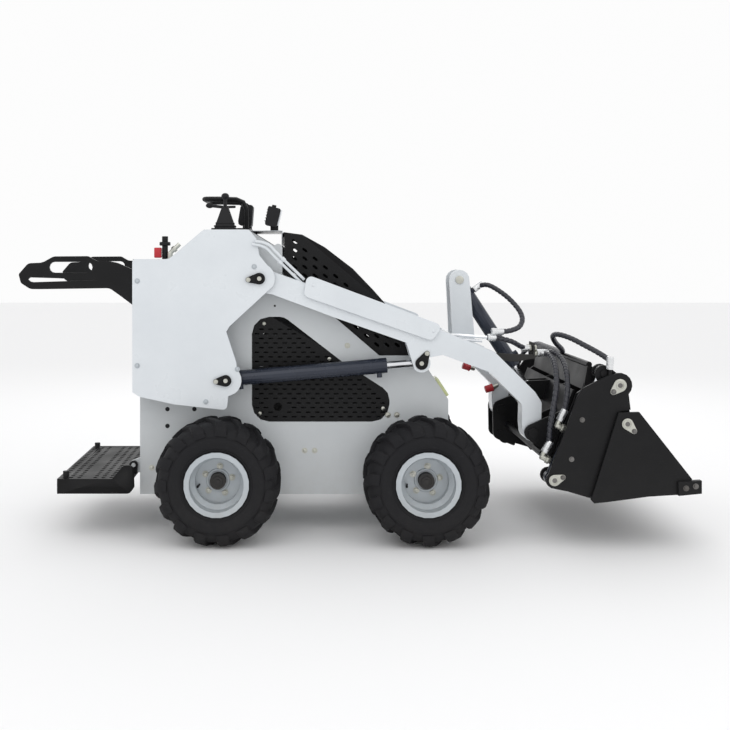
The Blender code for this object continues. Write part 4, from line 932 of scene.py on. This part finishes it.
# steel lines: the second one on the arm, its clips, and the pair that leaves the cover for the arm
steelLine = {"radius": 0.0055, "sides": 14, "collarRadius": 0.0082}
armLine = [(0.500, -0.2662, 0.8270), (0.700, -0.2662, 0.7590), (0.820, -0.2662, 0.7310), (0.900, -0.2662, 0.7275),
           (0.985, -0.2662, 0.7210)]
coverLine = [(0.132, -0.3715, 1.096), (0.160, -0.3735, 1.092), (0.186, -0.3735, 1.080), (0.208, -0.3710, 1.057),
             (0.238, -0.3640, 1.027), (0.276, -0.3450, 0.990), (0.312, -0.3300, 0.955)]
line, total = evenLine(armLine, 0.006)
dress(sweepTube("armLineLower", line, total, steelLine["radius"], steelLine["sides"]), "chromeRod", "lift_arms")
clips = []
for x, z in ((0.560, 0.8140), (0.760, 0.7370)):
    clips.append(bevelPiece(boxPiece("clip", (0.016, 0.011, 0.036), sidePoint(x, z, -0.2660), (0, 0.32, 0)), 0.0015))
dress(smooth(joinPieces("lineClips", clips)), "blackPlastic", "lift_arms")
for number, shift in enumerate((0.0, -0.011)):
    line, total = evenLine([(x + shift, y, z + shift) for x, y, z in coverLine], 0.005)
    tube = sweepTube(f"coverLine_{number}", line, total, steelLine["radius"], steelLine["sides"])
    middle = len(line) // 2
    collar = roundedBar("collar", line[middle], line[middle + 3], steelLine["collarRadius"], 20, 0.0012)
    tube = smooth(joinPieces(tube.name, [tube, collar]), 40.0)
    dress(tube, "whitePaint")
    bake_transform(tube)
print("steel lines made")


# small parts on the arms, tower and hull
def capOn(name, start, end, stemEnd, radius, body):
    start, end, stemEnd = rowPoint(start), rowPoint(end), rowPoint(stemEnd)
    cap = roundedBar("cap", start, end, radius, 28, 0.0040, 4)
    lip = roundedBar("lip", end - (end - start).normalized() * 0.005, end, radius * 1.10, 28, 0.0012)
    stem = barBetween("stem", end, stemEnd, radius * 0.62, 20)
    dress(smooth(joinPieces(name, [cap, lip])), "redPlastic", body)
    dress(smooth(stem), "zincPlate", body).name = f"{name}Stem"


capOn("upperCap", (0.990, 0.250, 0.576), (1.022, 0.252, 0.566), (1.040, 0.262, 0.560), 0.0145, "lift_arms")
capOn("lowerCap", (1.086, 0.250, 0.472), (1.119, 0.252, 0.482), (1.140, 0.262, 0.490), 0.0155, "lift_arms")

towerPin = {"place": cylinderPlaces["tilt"][0], "span": (0.057, 0.0625), "radius": 0.0165}
pinHeads = [roundedBar("pin", *(sidePoint(*towerPin["place"], side * y) for y in towerPin["span"]),
                       towerPin["radius"], 28, 0.0016) for side in (-1, 1)]
dress(smooth(joinPieces("towerPinHeads", pinHeads)), "zincPlate", "lift_arms")

reflectorEdge = [(0.8115, 0.5715), (0.8215, 0.5785), (0.8640, 0.5130), (0.8535, 0.5065)]
reflector = bevelPiece(outlinePiece("reflector", reflectorEdge, -0.2360, -0.1500), 0.0012)
dress(smooth(reflector), "reflectorPlastic", "machine_frame").name = "frontReflector"

# end caps of the hull's tie bars, and painted shade in its drilled holes, all shown as dark discs
hullCapsAndHoleShade = [(-0.206, 0.462, 0.0085), (-0.206, 0.398, 0.0085), (-0.104, 0.462, 0.0085), (0.201, 0.8535, 0.0042)]
capAndHoleShadeDiscs = [barBetween("capAndHoleShadeDisc", sidePoint(x, z, side * 0.2548), sidePoint(x, z, side * 0.2556), radius, 20)
             for x, z, radius in hullCapsAndHoleShade for side in (-1, 1)]
dress(joinPieces("hullCapsAndHoleShade", capAndHoleShadeDiscs), "blackPlastic", "machine_frame")

# bolts of the cutting edge
edgeBolts = [boltHead(sidePoint(x, z, side * 0.535), side, 0.0072, 0.005)
             for side in (-1, 1) for x, z in ((1.6585, 0.2230), (1.6925, 0.2300))]
dress(smooth(joinPieces("edgeBolts", edgeBolts)), "wornSteel", "clam_jaw")
print("small parts placed")


# console: joystick in its ribbed boot, hand lever and display
stickX, stickY = 0.010, -0.215
bootValues = {"foot": 1.1405, "height": 0.092, "ribs": 5, "firstRib": 1.1450, "ribPitch": 0.0112, "ribSpan": 0.0920,
              "ribHeight": 0.0066}
clearSelection()
bpy.ops.mesh.primitive_cone_add(vertices=4, radius1=0.0590, radius2=0.0165, depth=bootValues["height"],
                                rotation=(0, 0, math.pi / 4),
                                location=sidePoint(stickX, bootValues["foot"] + bootValues["height"] / 2, stickY))
bootParts = [bevelPiece(settle(bpy.context.object, "boot"), 0.0040, 3, 25.0)]
for k in range(bootValues["ribs"]):
    span = bootValues["ribSpan"] - bootValues["ribPitch"] * k
    rib = boxPiece("rib", (span, span, bootValues["ribHeight"]),
                   sidePoint(stickX, bootValues["firstRib"] + bootValues["ribPitch"] * k, stickY))
    bootParts.append(bevelPiece(rib, 0.0026, 3))
bootParts.append(roundedBar("stem", sidePoint(stickX, 1.225, stickY), sidePoint(stickX, 1.268, stickY), 0.0070, 20,
                            0.0008, 1))
bootParts.append(ballPiece("knob", sidePoint(stickX, 1.272, stickY), 0.0150, (1, 1, 0.80), 28, 16))
joystick = dress(smooth(joinPieces("joystickWithBoot", bootParts)), "blackPlastic", "machine_frame")
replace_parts(joystick, "joystick")

leverBend = sidePoint(0.000, 1.232, -0.165)
lever = [barBetween("arm", sidePoint(-0.050, 1.238, -0.150), leverBend, 0.0060, 18),
         barBetween("root", leverBend, sidePoint(0.040, 1.236, -0.112), 0.0050, 18),
         ballPiece("end", sidePoint(-0.055, 1.239, -0.149), 0.0105, (1.5, 1, 1), 24, 12)]
dress(smooth(joinPieces("handLever", lever)), "blackPlastic", "machine_frame")

screen = boxPiece("displayScreen", (0.0020, 0.078, 0.060), sidePoint(0.0572, 1.2075, -0.060), (0, math.radians(9.3), 0))
dress(smooth(bevelPiece(screen, 0.0006)), "screenGlass", "machine_frame")

# valve on the rear deck: black knob, red coil and plated coupling; each bar's ends as (x, z)
valveX, valveY, couplingY = -0.229, -0.150, -0.165
knobBars = [("stem", 1.028, 1.090, 0.0115, 24, 0.0015, 2), ("flange", 1.083, 1.0975, 0.0235, 6, 0.0030, 3),
            ("top", 1.095, 1.1195, 0.0118, 24, 0.0022, 3)]
couplingBars = [("body", (-0.207, 1.054), (-0.170, 1.090), 0.0085, 20, 0.0012),
                ("hexagon", (-0.196, 1.0647), (-0.186, 1.0744), 0.0125, 6, 0.0010),
                ("foot", (-0.207, 1.030), (-0.207, 1.060), 0.0105, 20, 0.0012)]
knobParts = [roundedBar(partName, sidePoint(valveX, low, valveY), sidePoint(valveX, high, valveY), *shape)
             for partName, low, high, *shape in knobBars]
dress(smooth(joinPieces("rearValveKnob", knobParts)), "blackPlastic", "machine_frame")
coil = bevelPiece(boxPiece("coil", (0.028, 0.030, 0.040), sidePoint(-0.256, 1.0555, valveY)), 0.0040, 3)
dress(smooth(coil), "redPlastic", "machine_frame").name = "rearValveCoil"
couplingParts = [roundedBar(partName, sidePoint(*start, couplingY), sidePoint(*end, couplingY), *shape)
                 for partName, start, end, *shape in couplingBars]
dress(smooth(joinPieces("rearCoupling", couplingParts)), "zincPlate", "machine_frame")

# work lamp: lens, cooling fins and the knob on its top
lampY = -0.200
lensEdge = [(0.2085, 1.158), (0.2145, 1.158), (0.2290, 1.218), (0.2235, 1.219)]
lampLens = bevelPiece(outlinePiece("lampLens", lensEdge, lampY - 0.040, lampY + 0.040), 0.0012)
dress(smooth(lampLens), "lensPlastic", "machine_frame")
lampParts = []
for k in range(5):
    fin = boxPiece("fin", (0.010, 0.084, 0.0024), sidePoint(0.166 + 0.0025 * k, 1.176 + 0.011 * k, lampY),
                   (0, math.radians(12), 0))
    lampParts.append(bevelPiece(fin, 0.0005, 1))
lampParts.append(roundedBar("knob", sidePoint(0.196, 1.228, lampY), sidePoint(0.198, 1.2385, lampY), 0.0085, 20,
                            0.0015))
dress(smooth(joinPieces("lampFins", lampParts)), "blackPlastic", "machine_frame")
print("console dressed")


bpy.context.view_layer.update()
